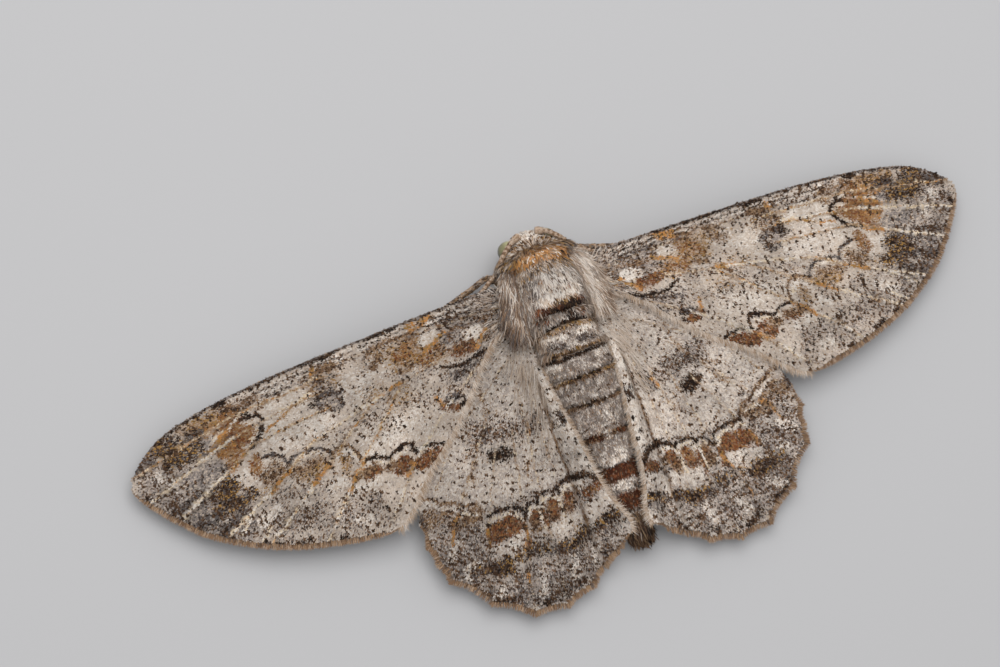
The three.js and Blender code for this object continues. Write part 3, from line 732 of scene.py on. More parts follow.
HINDWING_PATTERN = Pattern(speck_share=0.85, centre=(0, 3), radius=10, ground=(
    Tint.PALE, Tint.PALE, Tint.WHITE, Tint.WHITE, Tint.LAVENDER, Tint.LAVENDER), marks=strokes(
    (Mix.SNOW, 0.5, 0.35, 0.15, ((2, -2), (1.75, -4.8), (1.45, -6.8))),
    (Mix.SMOKE, 0.8, 0.45, 0.35, ((2.5, -3.6), (3.4, -3.8), (4.6, -3.6), (6.2, -3.2))),
    (Mix.SOOT, 0.62, 0.24, 0.2, ((2.8, -3.5), (3.3, -4.2)), ((1.65, -3.9), (2.05, -4.3)),
     ((5.5, -3.4), (5.9, -3.8))),
    (Mix.EARTH, 0.5, 0.12, 0.14, ((5.1, -2.3), (5.3, -2.9)), ((5, -1.4), (5.1, -1.9)),
     ((6.5, -4.6), (7, -5.3)), ((6.2, -3.9), (6.8, -4.2)), ((3.9, -5.5), (4.3, -5.9))),
    (Mix.LINE, 0.85, 0.11, 0.1, ((1.75, -4.15), (2, -4.4))),
    (Mix.LINE, 0.94, 0.32, 0.24, ((4.95, -4.75), (5.5, -4.6))),
    # Pale lines along the hindwing's veins: painted highlight on the vein ridges.
    (Mix.RIDGE, 0.5, 0.04, 0.05, *HINDWING_VEINS),
    (Mix.SNOW, 0.55, 0.07, 0.1, ((2.1, -1.8), (2.1, -5), (2.02, -9.4)),
     ((2.52, -2.4), (2.55, -5), (2.5, -9))),
    # Umber line down the fold: painted shade in the fold's groove.
    (Mix.EARTH, 0.95, 0.06, 0.05, ((2.3, -1.8), (2.36, -5), (2.3, -9.9))),
    (Mix.LINE, 0.9, 0.03, 0.05, *(((2.02, -5.1 - 0.26 * k),) for k in range(7)), ((2.1, -2.6),),
     ((2.1, -3),)),
    # outer half
    (Mix.SMOKE, 0.7, 1.2, 0.7, ((2.4, -11), (4.8, -11.4), (7, -10.8))),
    (Mix.SOOT, 0.3, 0.2, 0.3, ((1.6, -10.6), (3, -11.5), (5, -12.1), (7, -11.6), (8.6, -10.3), (9.5, -8.8))),
    (Mix.SMOKE, 0.75, 1.1, 0.6, ((8.8, -7.6), (9, -8.8), (8, -10))),
    (Mix.MOUSE, 0.3, 0.9, 0.7, ((8, -8.4), (8.6, -9.2)), ((3.2, -10.6), (6, -10.9))),
    (Mix.SNOW, 0.5, 0.2, 0.2, ((3.6, -10.7), (3.8, -11.6)), ((5.3, -10.8), (5.6, -11.7)),
     ((7.3, -10.6), (7.8, -11.1)), ((8.7, -8), (9.3, -8.5)), ((2.3, -10.5), (2.6, -11.2)),
     ((8.4, -9.2), (8.9, -9.7))),
    (Mix.EARTH, 0.66, 0.4, 0.25, ((8.8, -6.3), (9.8, -6.5)), ((7.4, -7), (8.4, -7))),
    (Mix.SMOKE, 0.5, 0.4, 0.25, ((1.3, -7.9), (3, -8.1), (5.5, -8.1), (7.4, -7.9)),
     ((4.4, -9.2), (6, -9.4))),
    (Mix.BRICK, 0.82, 0.22, 0.15, ((1.3, -7.8), (1.85, -7.95))),
    (Mix.EARTH, 0.8, 0.3, 0.16, ((2.75, -7.75), (3, -8.3)), ((3.55, -7.8), (3.8, -8.5)),
     ((4.6, -8), (4.75, -8.6))),
    (Mix.BRICK, 0.75, 0.24, 0.15, ((2.8, -7.7), (2.95, -8.2)), ((3.6, -7.8), (3.8, -8.4)), ((4.65, -8),)),
    (Mix.BRICK, 0.94, 0.48, 0.14, ((5.85, -8.1), (6.75, -8.2))),
    (Mix.BRICK, 0.85, 0.11, 0.1, ((5.3, -8.1), (5.4, -9.2)), ((4.2, -8), (4.3, -8.9)),
     ((7.15, -8.1), (7.3, -8.7))),
    (Mix.SNOW, 0.4, 0.2, 0.2, ((1.25, -8.6), (2.1, -8.65)), ((2.7, -8.85), (3.9, -9.05)),
     ((5.9, -9), (6.9, -9.1))),
    (Mix.PEARL, 0.75, 0.06, 0.07, ((2.45, -7.32), (2.8, -7.26), (3.12, -7.6)),
     ((3.3, -7.65), (3.6, -7.42), (4, -7.46), (4.2, -7.8)), ((4.4, -7.75), (4.7, -7.68), (4.95, -7.95)),
     ((5.3, -8.05), (5.5, -7.7), (5.9, -7.5), (6.6, -7.48), (7.1, -7.7)),
     ((7.3, -7), (7.9, -6.72), (8.3, -6.9)), ((3.25, -7.7), (3.35, -8.8)), ((4.35, -7.9), (4.4, -8.9))),
    (Mix.SMOKE, 0.7, 0.16, 0.16, ((1.15, -7.3), (2, -6.9), (3.1, -7.05), (4.2, -7.2), (5.4, -7.3),
                                  (6.9, -7.1))),
    (Mix.LINE, 0.7, 0.16, 0.12, ((1.2, -7.5), (1.6, -7.2), (2.1, -6.95), (2.5, -6.95))),
    (Mix.LINE, 0.96, 0.08, 0.08, ((1.2, -7.55), (1.7, -7.2), (2.3, -6.98), (2.8, -6.98), (3.06, -7.15),
                                  (3.14, -7.4)),
     ((3.14, -7.4), (3.35, -7.2), (3.9, -7.15), (4.2, -7.3), (4.32, -7.56)),
     ((4.32, -7.56), (4.5, -7.4), (4.85, -7.46), (5.12, -7.95)),
     ((5.12, -7.95), (5.28, -7.5), (5.7, -7.26), (6.3, -7.2), (6.9, -7.28))),
    (Mix.EARTH, 0.85, 0.08, 0.1, ((7, -6.9), (7.2, -6.5), (7.8, -6.4), (8.1, -6.1), (8.8, -5.8),
                                  (9.6, -5.35))),
    (Mix.SNOW, 0.6, 0.08, 0.08, ((8.1, -6.5), (8.6, -6.2), (9.4, -5.75))),
    (Mix.SOOT, 0.6, 0.12, 0.14, ((7.4, -6.1),), ((7.8, -6.35),), ((9.9, -6.1), (10, -6.5))),
    (Mix.GILT, 0.85, 0.28, 0.25, ((1, -9.4), (1.8, -9.6))),
    (Mix.GILT, 0.88, 0.32, 0.28, ((2.6, -9.7), (3, -9.95), (4, -10))),
    (Mix.SOOT, 0.6, 0.2, 0.25, ((4.2, -10), (4.9, -9.85)), ((0.9, -9.8), (1.5, -10.1))),
    (Mix.GILT, 0.65, 0.24, 0.2, ((4.8, -9.6), (6, -9.7)), ((7.6, -9.7), (8.4, -9.6))),
    (Mix.GILT, 0.95, 0.42, 0.2, ((6.8, -9.85), (7.3, -9.85))),
    (Mix.LINE, 0.8, 0.16, 0.15, ((6.9, -9.95), (7.2, -10)), ((3.1, -10), (3.3, -10.05))),
    (Mix.LINE, 0.9, 0.1, 0.1, ((2, -11),), ((3.5, -11.85), (3.8, -11.95)), ((4.5, -12.25),),
     ((5.3, -12.25), (5.7, -12.2)), ((7.1, -11.5), (7.9, -11.2)), ((8.9, -10.3), (9.3, -9.95)),
     ((10.1, -7.5),), ((9.95, -8.9),), ((1.1, -9.2),), ((1.5, -9.3),), ((1.4, -6.4),), ((1.7, -6.1),),
     ((1.6, -5.4),)),
    (Mix.AMBER, 0.7, 0.07, 0.07, ((5.25, -8.4), (5.4, -8.9), (5.7, -9.4)), ((7.1, -7.9), (7.3, -8.6)),
     ((5.95, -10.4), (6.1, -11)), ((8.2, -6.75), (8.6, -7.05)), ((8.7, -7.4), (9, -8)),
     ((3.38, -3.8), (3.48, -4.3))),
))

BODY_PATTERN = Pattern(speck_cell=0.26, speck_radius=0.045, speck_share=0.5, ragged=0.1, blotch=0.16,
                       centre=(0, 40), radius=40, ground=(
    Tint.GREY, Tint.SLATE, Tint.WHITE, Tint.SLATE, Tint.PALE, Tint.UMBER, Tint.GREY, Tint.BROWN,
    Tint.LAVENDER), marks=strokes(
    (Mix.SNOW, 0.3, 1.3, 0.5, ((0, 1.3), (0, 2.2))),
    (Mix.MOUSE, 0.4, 0.3, 0.3, ((-1.2, 2.4), (-1, 1.4)), ((-0.6, 2.7), (0.6, 2.8))),
    # head and collar
    (Mix.SNOW, 0.72, 0.7, 0.2, ((-1, 4.95), (1, 4.95))),
    (Mix.SAND, 0.5, 0.14, 0.2, ((-0.9, 4.95), (-0.2, 4.9)), ((0.3, 4.9), (0.9, 4.85))),
    (Mix.SNOW, 0.8, 0.12, 0.1, ((-0.7, 5.1), (-0.4, 5.15)), ((0, 5.05), (0.3, 5.1)),
     ((-0.6, 4.75), (0.5, 4.75))),
    (Mix.EARTH, 0.8, 0.08, 0.1, ((-1.1, 4.5), (0, 4.62), (1.1, 4.5))),
    (Mix.SAND, 0.6, 0.36, 0.2, ((-1.6, 3.85), (0, 4.1), (1.6, 3.85))),
    (Mix.EARTH, 0.6, 0.14, 0.12, ((-0.9, 4.2), (0, 4.3), (0.8, 4.25))),
    (Mix.CLAY, 0.6, 0.24, 0.2, ((-0.9, 3.6), (0, 3.74), (1, 3.56))),
    (Mix.HONEY, 0.95, 0.22, 0.14, ((-1.1, 3.42), (-0.6, 3.54), (0.3, 3.54), (1, 3.4))),
    (Mix.PEARL, 0.3, 0.04, 0.05, *(((0.2 * k - 0.9, 3.4), (0.22 * k - 1, 3.75)) for k in range(10))),
    (Mix.CLAY, 0.9, 0.12, 0.1, ((-1.7, 3.3), (-1.2, 3.36)), ((1, 3.3), (1.5, 3.15))),
    # thorax
    (Mix.SAND, 0.5, 0.24, 0.2, ((-1.4, 2.9), (0, 3), (1.4, 2.9))),
    (Mix.SNOW, 0.85, 0.45, 0.4, ((-0.2, 1.9), (0.4, 2.1), (0.5, 1.5))),
    (Mix.CLAY, 0.6, 0.1, 0.12, ((0.7, 1.6), (0.85, 1.5)), ((-0.6, 2.3),)),
    (Mix.SNOW, 0.86, 0.28, 0.15, ((-0.8, 1.25), (0, 1.35), (0.8, 1.25))),
    (Mix.RED, 0.92, 0.18, 0.1, ((-1.2, 0.92), (-0.4, 0.85), (0.4, 0.82), (1.1, 0.9))),
    (Mix.SAND, 0.6, 0.07, 0.08, ((-0.9, 1.1), (0, 1.04), (0.9, 1.06))),
    (Mix.LINE, 0.95, 0.13, 0.08, ((0.2, 0.78), (1, 0.84)), ((-0.6, 0.78), (-0.2, 0.72))),
    (Mix.LINE, 0.95, 0.1, 0.1, ((-0.15, 0.6), (0.45, 0.58)), ((0.2, 0.35), (0.4, 0.3))),
    (Mix.BRICK, 0.5, 0.14, 0.12, ((-1.2, 0.55), (-0.9, 0.5)), ((0.8, 0.5), (0.95, 0.35))),
    # Black arc along the crease between thorax and abdomen: painted shade in that crease.
    (Mix.LINE, 0.97, 0.11, 0.07, ((-1.5, -0.18), (-0.7, 0.02), (0, 0.08), (0.7, 0.04), (1.5, -0.14))),
    # abdomen
    (Mix.SAND, 0.7, 0.12, 0.1, ((-1.5, -0.3), (0, -0.1), (1.5, -0.3))),
    (Mix.SNOW, 0.8, 0.1, 0.1, ((-1.4, -0.4), (-0.3, -0.6)), ((0.3, -0.6), (1.4, -0.4))),
    (Mix.SOOT, 0.6, 0.16, 0.15, ((-1.5, -0.85), (-0.5, -1)), ((0.3, -0.95), (1.1, -0.95))),
    (Mix.SNOW, 0.5, 0.08, 0.1, ((-0.5, -1.25), (0.5, -1.25))),
    (Mix.SAND, 0.85, 0.09, 0.08, ((-2, -1.2), (-1, -1.37), (0, -1.43), (1, -1.37), (2, -1.2))),
    (Mix.EARTH, 0.4, 0.09, 0.08, ((-2, -1.2), (-1, -1.36), (1, -1.36), (2, -1.2))),
    # Black line along the fold at y -1.4: painted shade in the crease.
    (Mix.LINE, 0.97, 0.075, 0.05, ((-2, -1.42), (-1, -1.6), (0, -1.66), (1, -1.6), (2, -1.42))),
    (Mix.SNOW, 0.5, 0.16, 0.15, ((-1.8, -1.75), (-1.2, -1.9)), ((0.9, -1.9), (1.8, -1.7))),
    (Mix.SAND, 0.8, 0.09, 0.07, ((-2.2, -2.62), (0, -2.76), (2.2, -2.62))),
    # Umber line and black dashes along the fold at y -2.6: painted shade in the crease.
    (Mix.EARTH, 0.6, 0.06, 0.06, ((-2.2, -2.72), (0, -2.86), (2.2, -2.72))),
    (Mix.LINE, 0.75, 0.07, 0.08, ((-0.8, -2.68), (-0.4, -2.7)), ((0.1, -2.72), (0.6, -2.7))),
    # Umber line and black dashes along the fold at y -4: painted shade in the crease.
    (Mix.EARTH, 0.9, 0.09, 0.08, ((-2.2, -4), (0, -4.1), (2.2, -4))),
    (Mix.LINE, 0.6, 0.07, 0.08, ((-0.9, -4.05), (-0.4, -4.1)), ((0.2, -4.1), (0.7, -4.05))),
    # Umber line along the fold at y -5.7: painted shade in the crease.
    (Mix.EARTH, 0.92, 0.13, 0.09, ((-2, -5.68), (0, -5.74), (2, -5.68))),
    (Mix.RED, 0.5, 0.12, 0.1, ((-1, -5.7), (-0.3, -5.74)), ((0.3, -5.74), (1, -5.7))),
    (Mix.SNOW, 0.7, 0.14, 0.2, ((-0.05, -5.7),), ((0.25, -4.7), (0.4, -4.9)), ((-0.1, -3.7),),
     ((0.2, -6.6), (0.5, -6.8)), ((-0.5, -7), (0.4, -7.05))),
    (Mix.RED, 0.97, 0.42, 0.12, ((-2, -7.68), (2, -7.68))),
    (Mix.SNOW, 0.5, 0.1, 0.15, ((-0.6, -8.15), (0.6, -8.15))),
    (Mix.RED, 0.97, 0.4, 0.12, ((-1.8, -9.05), (1.8, -9.05))),
    (Mix.SNOW, 0.6, 0.12, 0.12, ((-0.3, -8.5), (0.35, -8.5))),
    (Mix.EARTH, 0.9, 0.9, 0.2, ((-1, -10.7), (1, -10.7))),
    (Mix.LINE, 0.5, 0.5, 0.4, ((-0.4, -10.4), (0.4, -11))),
))


# ---- Finishes -------------------------------------------------------------------------------------------


class Value:
    """An output in a material's node tree, which can be used in plain sums."""

    def __init__(self, graph: "Graph", output: bpy.types.NodeSocket) -> None:
        """Keeps the tree and the output."""
        self.graph = graph
        self.output = output

    def _with(self, operation: str, first: object, second: object) -> "Value":
        """Adds a maths node, or a vector maths node where either side is a colour or vector."""
        vector = any(isinstance(v, Value) and v.output.type in ("RGBA", "VECTOR") for v in (first, second))
        kind = "ShaderNodeVectorMath" if vector else "ShaderNodeMath"
        return self.graph.node(kind, {"operation": operation}, {0: first, 1: second})

    def __add__(self, other: object) -> "Value":
        """Sum."""
        return self._with("ADD", self, other)

    def __rsub__(self, other: object) -> "Value":
        """Difference from the right."""
        return self._with("SUBTRACT", other, self)

    def __mul__(self, other: object) -> "Value":
        """Product."""
        return self._with("MULTIPLY", self, other)


class Graph:
    """A material's node tree, built by name."""

    def __init__(self, name: str) -> None:
        """Starts a material with an empty tree."""
        self.material = bpy.data.materials.new(name)
        self.material.use_nodes = True
        self.tree = self.material.node_tree
        self.tree.nodes.clear()

    def node(self, kind: str, settings: dict[str, object], inputs: dict[int | str, object],
             output: int | str = 0) -> Value | None:
        """Adds a node.

        Args:
            kind: Its type.
            settings: Its own settings.
            inputs: A number, colour or Value for each input, by name or place.
            output: Which output to give back.

        Returns:
            That output, or nothing for a node without one.
        """
        made = self.tree.nodes.new(kind)
        for key, value in settings.items():
            setattr(made, key, value)
        for key, value in inputs.items():
            if isinstance(value, Value):
                self.tree.links.new(value.output, made.inputs[key])
            else:
                made.inputs[key].default_value = value
        return Value(self, made.outputs[output]) if made.outputs else None


@dataclass(frozen=True)
class Finish:
    """A surface whose colour each point of its mesh carries, with a fine grain.

    The colour is tint * (1 - mottle / 2 + mottle * noise), and the noise also lifts the surface by up to
    grain_depth. Sizes are in the moth's millimetres.
    """

    name: str
    roughness: float
    specular: float
    mottle: float
    grain: float
    grain_depth: float = 0.0
    facet: float = 0.0
    facet_depth: float = 0.0
    lacquer: float = 0.0

    def material(self, metre: float) -> bpy.types.Material:
        """Makes the material once, and gives the same one after that."""
        made = bpy.data.materials.get(self.name)
        if made:
            return made
        g = Graph(self.name)
        place = g.node("ShaderNodeTexCoord", {}, {}, "Object")
        noise = g.node("ShaderNodeTexNoise", {}, {"Vector": place, "Scale": 1.0 / (self.grain * metre),
                                                  "Detail": 2.0}, "Fac")
        tint = g.node("ShaderNodeAttribute", {"attribute_name": "tint"}, {}, "Color")
        share = noise * self.mottle + (1.0 - self.mottle / 2)
        grey = g.node("ShaderNodeCombineColor", {}, {"Red": share, "Green": share, "Blue": share})
        surface = {"Base Color": tint * grey, "Roughness": self.roughness,
                   "Specular IOR Level": self.specular, "Coat Weight": self.lacquer, "Coat Roughness": 0.08}
        relief = noise * self.grain_depth
        if self.facet:
            cell = g.node("ShaderNodeTexVoronoi", {"feature": "F1"},
                          {"Vector": place, "Scale": 1.0 / (self.facet * metre)}, "Distance")
            relief = relief + (1.0 - cell) * self.facet_depth
        if self.grain_depth or self.facet:
            surface["Normal"] = g.node("ShaderNodeBump", {},
                                       {"Height": relief, "Distance": metre, "Strength": 1.0})
        shader = g.node("ShaderNodeBsdfPrincipled", {}, surface)
        g.node("ShaderNodeOutputMaterial", {}, {"Surface": shader})
        return g.material


COAT = Finish("scale_coat", 0.8, 0.12, mottle=0.08, grain=0.07)
SKIN = Finish("scaled_skin", 0.85, 0.1, mottle=0.3, grain=0.06, grain_depth=0.02)
HAIR = Finish("long_hair_coat", 0.7, 0.2, mottle=0.12, grain=0.1)
HORN = Finish("horn", 0.45, 0.4, mottle=0.2, grain=0.05, grain_depth=0.01)
EYE = Finish("compound_eye", 0.32, 0.5, mottle=0.1, grain=0.12, facet=0.035, facet_depth=0.012, lacquer=0.35)


# ---- The bench ------------------------------------------------------------------------------------------


@dataclass(frozen=True)
class Bench:
    """Turns the moth's own measures into the frame's metres, as its solids stand there."""

    metre: float
    forward: float

    @classmethod
    def from_solids(cls) -> "Bench":
        """Reads the scale from the wingspan, and how far forward the moth stands from its head."""
        low, high = SOLID_BOX
        metre = (high.x - low.x) / (2 * HALF_SPAN)
        return cls(metre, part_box("head")[1].y / metre - HEAD_FRONT)

    def place(self, points: Array) -> Array:
        """Gives the metres for points of the moth."""
        return (np.asarray(points, float) + (0.0, self.forward, 0.0)) * self.metre

    def piece(self, name: str, shell: Shell, finish: Finish, slot: str, *nodes: str) -> bpy.types.Object:
        """Makes a piece of the moth.

        Args:
            name: The piece's name.
            shell: Its points, faces and colours.
            finish: What it is covered with.
            slot: Not used.
            nodes: The solids that it stands for.

        Returns:
            The object, tied to the frame.
        """
        mesh = bpy.data.meshes.new(name)
        loops = np.concatenate([f.ravel() for f in shell.faces])
        sizes = np.concatenate([np.full(len(f), f.shape[1]) for f in shell.faces])
        mesh.vertices.add(len(shell.points))
        mesh.vertices.foreach_set("co", self.place(shell.points).ravel())
        mesh.loops.add(len(loops))
        mesh.loops.foreach_set("vertex_index", loops.astype(np.int32))
        mesh.polygons.add(len(sizes))
        starts = np.concatenate([[0], np.cumsum(sizes)[:-1]])
        mesh.polygons.foreach_set("loop_start", starts.astype(np.int32))
        mesh.update(calc_edges=True)
        mesh.shade_smooth()
        colours = np.ones((len(shell.points), 4))
        colours[:, :3] = shell.tints
        tint = mesh.color_attributes.new("tint", "FLOAT_COLOR", "POINT")
        tint.data.foreach_set("color", colours.ravel())
        if shell.places is not None:
            unwrapped = mesh.uv_layers.new(name="OFBake")
            unwrapped.data.foreach_set("uv", shell.places[loops].ravel())
        mesh.validate()
        made = bpy.data.objects.new(name, mesh)
        bpy.context.scene.collection.objects.link(made)
        made.data.materials.append(finish.material(self.metre))
        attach(made, "root")
        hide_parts(*nodes)
        log.info("%s: %d triangles", name, int(np.sum(sizes - 2)))
        return made


@dataclass
class Sided:
    """A part with a twin on the other side; it is shaped on the right and reflected for the left."""

    bench: Bench
    side: Side

    def dress(self, stem: str, shell: Shell, finish: Finish, slot: str, node: str) -> None:
        """Makes a piece on the part's own side, in place of its solid there."""
        self.bench.piece(self.side.named(stem), shell.on(self.side), finish, slot, self.side.named(node))


# ---- Wings ----------------------------------------------------------------------------------------------


@dataclass(frozen=True)
class WingPlan:
    """Outline, veins and markings of a right wing seen from above."""

    leading: Path
    outer: Path
    inner: Path
    veins: tuple[Path, ...]
    hinge: tuple[float, float]
    fan: float
    pattern: Pattern
    rows: int
    columns: int
    scallop: float
    fringe: float
    inner_fringe: float


FOREWING_PLAN = WingPlan(
    leading=((2.1, 2.9), (3.2, 3.06), (6, 3.06), (10, 2.98), (14, 2.85), (17, 2.6), (19, 2.27),
             (20.3, 1.92), (21.3, 1.38), (22.1, 0.7), (22.44, 0.2), (22.5, 0)),
    outer=((22.5, 0), (22.46, -0.3), (22.15, -0.95), (21.4, -1.95), (20, -3.45), (18, -4.75), (16, -5.6),
           (14, -6.14), (12.4, -6.42), (11.6, -6.45), (11.1, -6.36)),
    inner=((2.1, 0.7), (3.2, 0.75), (4.2, -0.1), (5.6, -1.6), (7, -2.95), (8.6, -4.2), (10, -5.6),
           (10.6, -6.12), (11.1, -6.36)),
    veins=FOREWING_VEINS,
    hinge=(1.0, 2.0), fan=0.55, pattern=FOREWING_PATTERN, rows=150, columns=56, scallop=0.0, fringe=0.4,
    inner_fringe=0.4)

HINDWING_PLAN = WingPlan(
    leading=((2, 1.1), (4.4, 0.5), (7.2, -1.5), (8.9, -4.1), (9.75, -5.5), (10.2, -6.6)),
    outer=((10.2, -6.6), (10.35, -7.6), (10.15, -8.7), (9.85, -9.75), (8.35, -11.5), (6.5, -12.75),
           (4.7, -12.95), (3.1, -12.5), (2, -11.75), (1.15, -11.3), (0.55, -10.6)),
    inner=((1.6, -0.4), (1.7, -1.4), (1.7, -2.4), (1.58, -3.6), (1.4, -4.8), (1.25, -6), (1.14, -7.2),
           (0.95, -8.3), (0.66, -9.3), (0.46, -10), (0.55, -10.6)),
    veins=HINDWING_VEINS,
    hinge=(1.9, 0.6), fan=1.0, pattern=HINDWING_PATTERN, rows=96, columns=110, scallop=0.13, fringe=0.42,
    inner_fringe=0.34)


EDGE_PASSES = 6           # how often the directions along an edge are averaged with their neighbours
ROW_GAP = 0.866           # a staggered lattice's rows, as a share of its spacing
UNWRAP_ROOM = 0.03        # what stays free round an unwrapped wing, as a share of its size


@dataclass
class Wing(Sided):
    """A wing: a thin membrane with raised veins, scales over both faces, and a fringe out to its margin."""

    seed: int
    plan: WingPlan
    stem: str
    thickness: float = 0.045
    vein_height: float = 0.05
    vein_reach: float = 0.085
    hollow: float = 0.02
    sway: float = 0.05
    # Darkens the wing's scales evenly; the left wings get a lower value as painted shade, as if lit from the
    # moth's right.
    tone_and_painted_shade: float = 1.0
    spacing: float = 0.05
    under_spacing: float = 0.08
    upper_lie: Lie = Lie(0.13, 0.072, 0.1, 0.03, stray=0.08, roll=0.08, root_shade=0.88)
    under_lie: Lie = Lie(0.2, 0.1, 0.1, 0.04, stray=0.1, roll=0.1)

    def __post_init__(self) -> None:
        """Lays out the membrane in plan, and keeps the wing's own random numbers."""
        self.rng = np.random.default_rng(self.seed)
        self.veins = [curve_through(vein, 14) for vein in self.plan.veins]
        self.spread = edge = self._spread()
        self.margin = edge[-1]
        self.outline = np.vstack([edge[0], edge[1:, -1], edge[-1, -2::-1], edge[-2:0:-1, 0]])
        low, high = self.outline.min(0), self.outline.max(0)
        self.unwrap_from = low - UNWRAP_ROOM * (high - low)
        self.unwrap_size = (1 + 2 * UNWRAP_ROOM) * float(np.max(high - low))

    def level(self, x: Array, y: Array) -> Array:
        """Height of the wing's mean surface; each kind of wing has its own."""
        raise NotImplementedError

    def outer_margin(self, count: int) -> Array:
        """The outer margin from the tip inwards, drawn in between its veins by scallop * |sin| of a gap."""
        knots = np.asarray(self.plan.outer)
        place = np.linspace(0, len(knots) - 1, count)
        line = catmull(knots, place) if self.plan.scallop else curve_through(self.plan.outer, count)
        along = unit(np.gradient(line, axis=0))
        gap = np.linalg.norm(np.diff(knots, axis=0), axis=1)[np.clip(place.astype(int), 0, len(knots) - 2)]
        return line + sideways(along) * (self.plan.scallop * gap * np.abs(np.sin(math.pi * place)))[:, None]

    def taper(self) -> Array:
        """The fringe's share of its full length at each column, less at both ends of the margin."""
        t = np.linspace(0, 1, self.plan.columns)
        return (0.4 + 0.6 * smooth(t, 0.0, 0.12)) * (0.4 + 0.6 * smooth(1 - t, 0.0, 0.1))

    def _spread(self) -> Array:
        """Places of the membrane's grid in plan: a patch between four edges drawn in from the outline."""
        rows, columns = self.plan.rows, self.plan.columns
        s, t = np.linspace(0, 1, rows), np.linspace(0, 1, columns)

        def drawn_in(line: Array, depth: Array, hand: float) -> Array:
            """Moves a line square to itself by a depth."""
            return line + hand * sideways(unit(np.gradient(line, axis=0))) * depth[:, None]

        outer = drawn_in(self.outer_margin(columns), self.plan.fringe * self.taper(), 1.0)
        leading = drawn_in(curve_through(self.plan.leading, rows), np.full(rows, 0.05), 1.0)
        inner = drawn_in(curve_through(self.plan.inner, rows), np.full(rows, 0.14), -1.0)
        leading = leading + (outer[0] - leading[-1]) * (s ** 8)[:, None]
        inner = inner + (outer[-1] - inner[-1]) * (s ** 8)[:, None]
        root = leading[0] + (inner[0] - leading[0]) * t[:, None]
        s, t = s[:, None, None], t[None, :, None]
        return ((1 - t) * leading[:, None] + t * inner[:, None] + (1 - s) * root[None] + s * outer[None]
                - (1 - s) * (1 - t) * root[0] - (1 - s) * t * root[-1]
                - s * (1 - t) * outer[0] - s * t * outer[-1])

    def surface(self, x: Array, y: Array) -> Array:
        """Height of the upper face: the level, slow waves, and a ridge exp(-(d / reach)^2) on each vein."""
        away = np.min([from_path(x, y, vein) for vein in self.veins], axis=0)
        waves = self.sway * (clouds(x, y, 2.3, self.seed) - 0.5)
        between = self.hollow * smooth(away, 0.1, 0.7)
        return self.level(x, y) + waves + self.vein_height * bell(away, self.vein_reach) - between

    def normals(self, x: Array, y: Array, step: float = 0.05) -> Array:
        """Upward directions, from the surface's slopes."""
        east = (self.surface(x + step, y) - self.surface(x - step, y)) / (2 * step)
        north = (self.surface(x, y + step) - self.surface(x, y - step)) / (2 * step)
        return unit(np.stack([-east, -north, np.ones_like(x)], axis=1))

    def unwrapped(self, x: Array, y: Array) -> Array:
        """Places on the unwrapped wing, which is its plan."""
        return (np.stack([x, y], axis=1) - self.unwrap_from) / self.unwrap_size

    def membrane(self) -> Shell:
        """The thin double sheet, closed round its edge."""
        rows, columns = self.spread.shape[:2]
        x, y = self.spread[..., 0].ravel(), self.spread[..., 1].ravel()
        top = np.stack([x, y, self.surface(x, y)], axis=1)
        bottom = top - (0.0, 0.0, self.thickness)
        faces = grid_faces(rows, columns)
        at = np.arange(rows * columns).reshape(rows, columns)
        ring = np.concatenate([at[0], at[1:, -1], at[-1, -2::-1], at[-2:0:-1, 0]])
        after = np.roll(ring, -1)
        under = rows * columns
        rim = np.stack([ring + under, after + under, after, ring], axis=1)
        colours = self.plan.pattern.paint(x, y, self.rng, self.seed) * 0.7
        return Shell(np.vstack([top, bottom]), [faces, faces[:, ::-1] + under, rim],
                     np.vstack([colours, colours]))

    def scattered(self, spacing: float) -> tuple[Array, Array]:
        """Places in a staggered lattice over the membrane, each moved a little at random."""
        low, high = self.outline.min(0), self.outline.max(0)
        x, y = np.meshgrid(np.arange(low[0], high[0], spacing),
                           np.arange(low[1], high[1], spacing * ROW_GAP))
        x[1::2] += spacing / 2
        x = (x + self.rng.uniform(-0.4, 0.4, x.shape) * spacing).ravel()
        y = (y + self.rng.uniform(-0.4, 0.4, y.shape) * spacing).ravel()
        kept = inside(x, y, self.outline)
        return x[kept], y[kept]

    def outwards(self, x: Array, y: Array) -> Array:
        """The way the scales lie: away from the hinge."""
        flat = np.stack([(x - self.plan.hinge[0]) * self.plan.fan, y - self.plan.hinge[1],
                         np.zeros_like(x)], axis=1)
        return unit(flat)

    def coat(self, under: bool) -> Shell:
        """The scales of one face."""
        lie = self.under_lie if under else self.upper_lie
        x, y = self.scattered(self.under_spacing if under else self.spacing)
        normals = self.normals(x, y)
        height = self.surface(x, y) - (self.thickness if under else 0.0)
        along = self.outwards(x, y)
        seen = np.stack([x, y], axis=1) + along[:, :2] * lie.length * SEEN_AT
        tints = self.plan.pattern.paint(seen[:, 0], seen[:, 1], self.rng, self.seed, 0.4 if under else 1.0)
        roots = np.stack([x, y, height], axis=1)
        outward = -normals if under else normals
        return lie.grow(roots, outward, along, tints * self.tone_and_painted_shade, self.unwrapped(x, y), self.rng).shell()

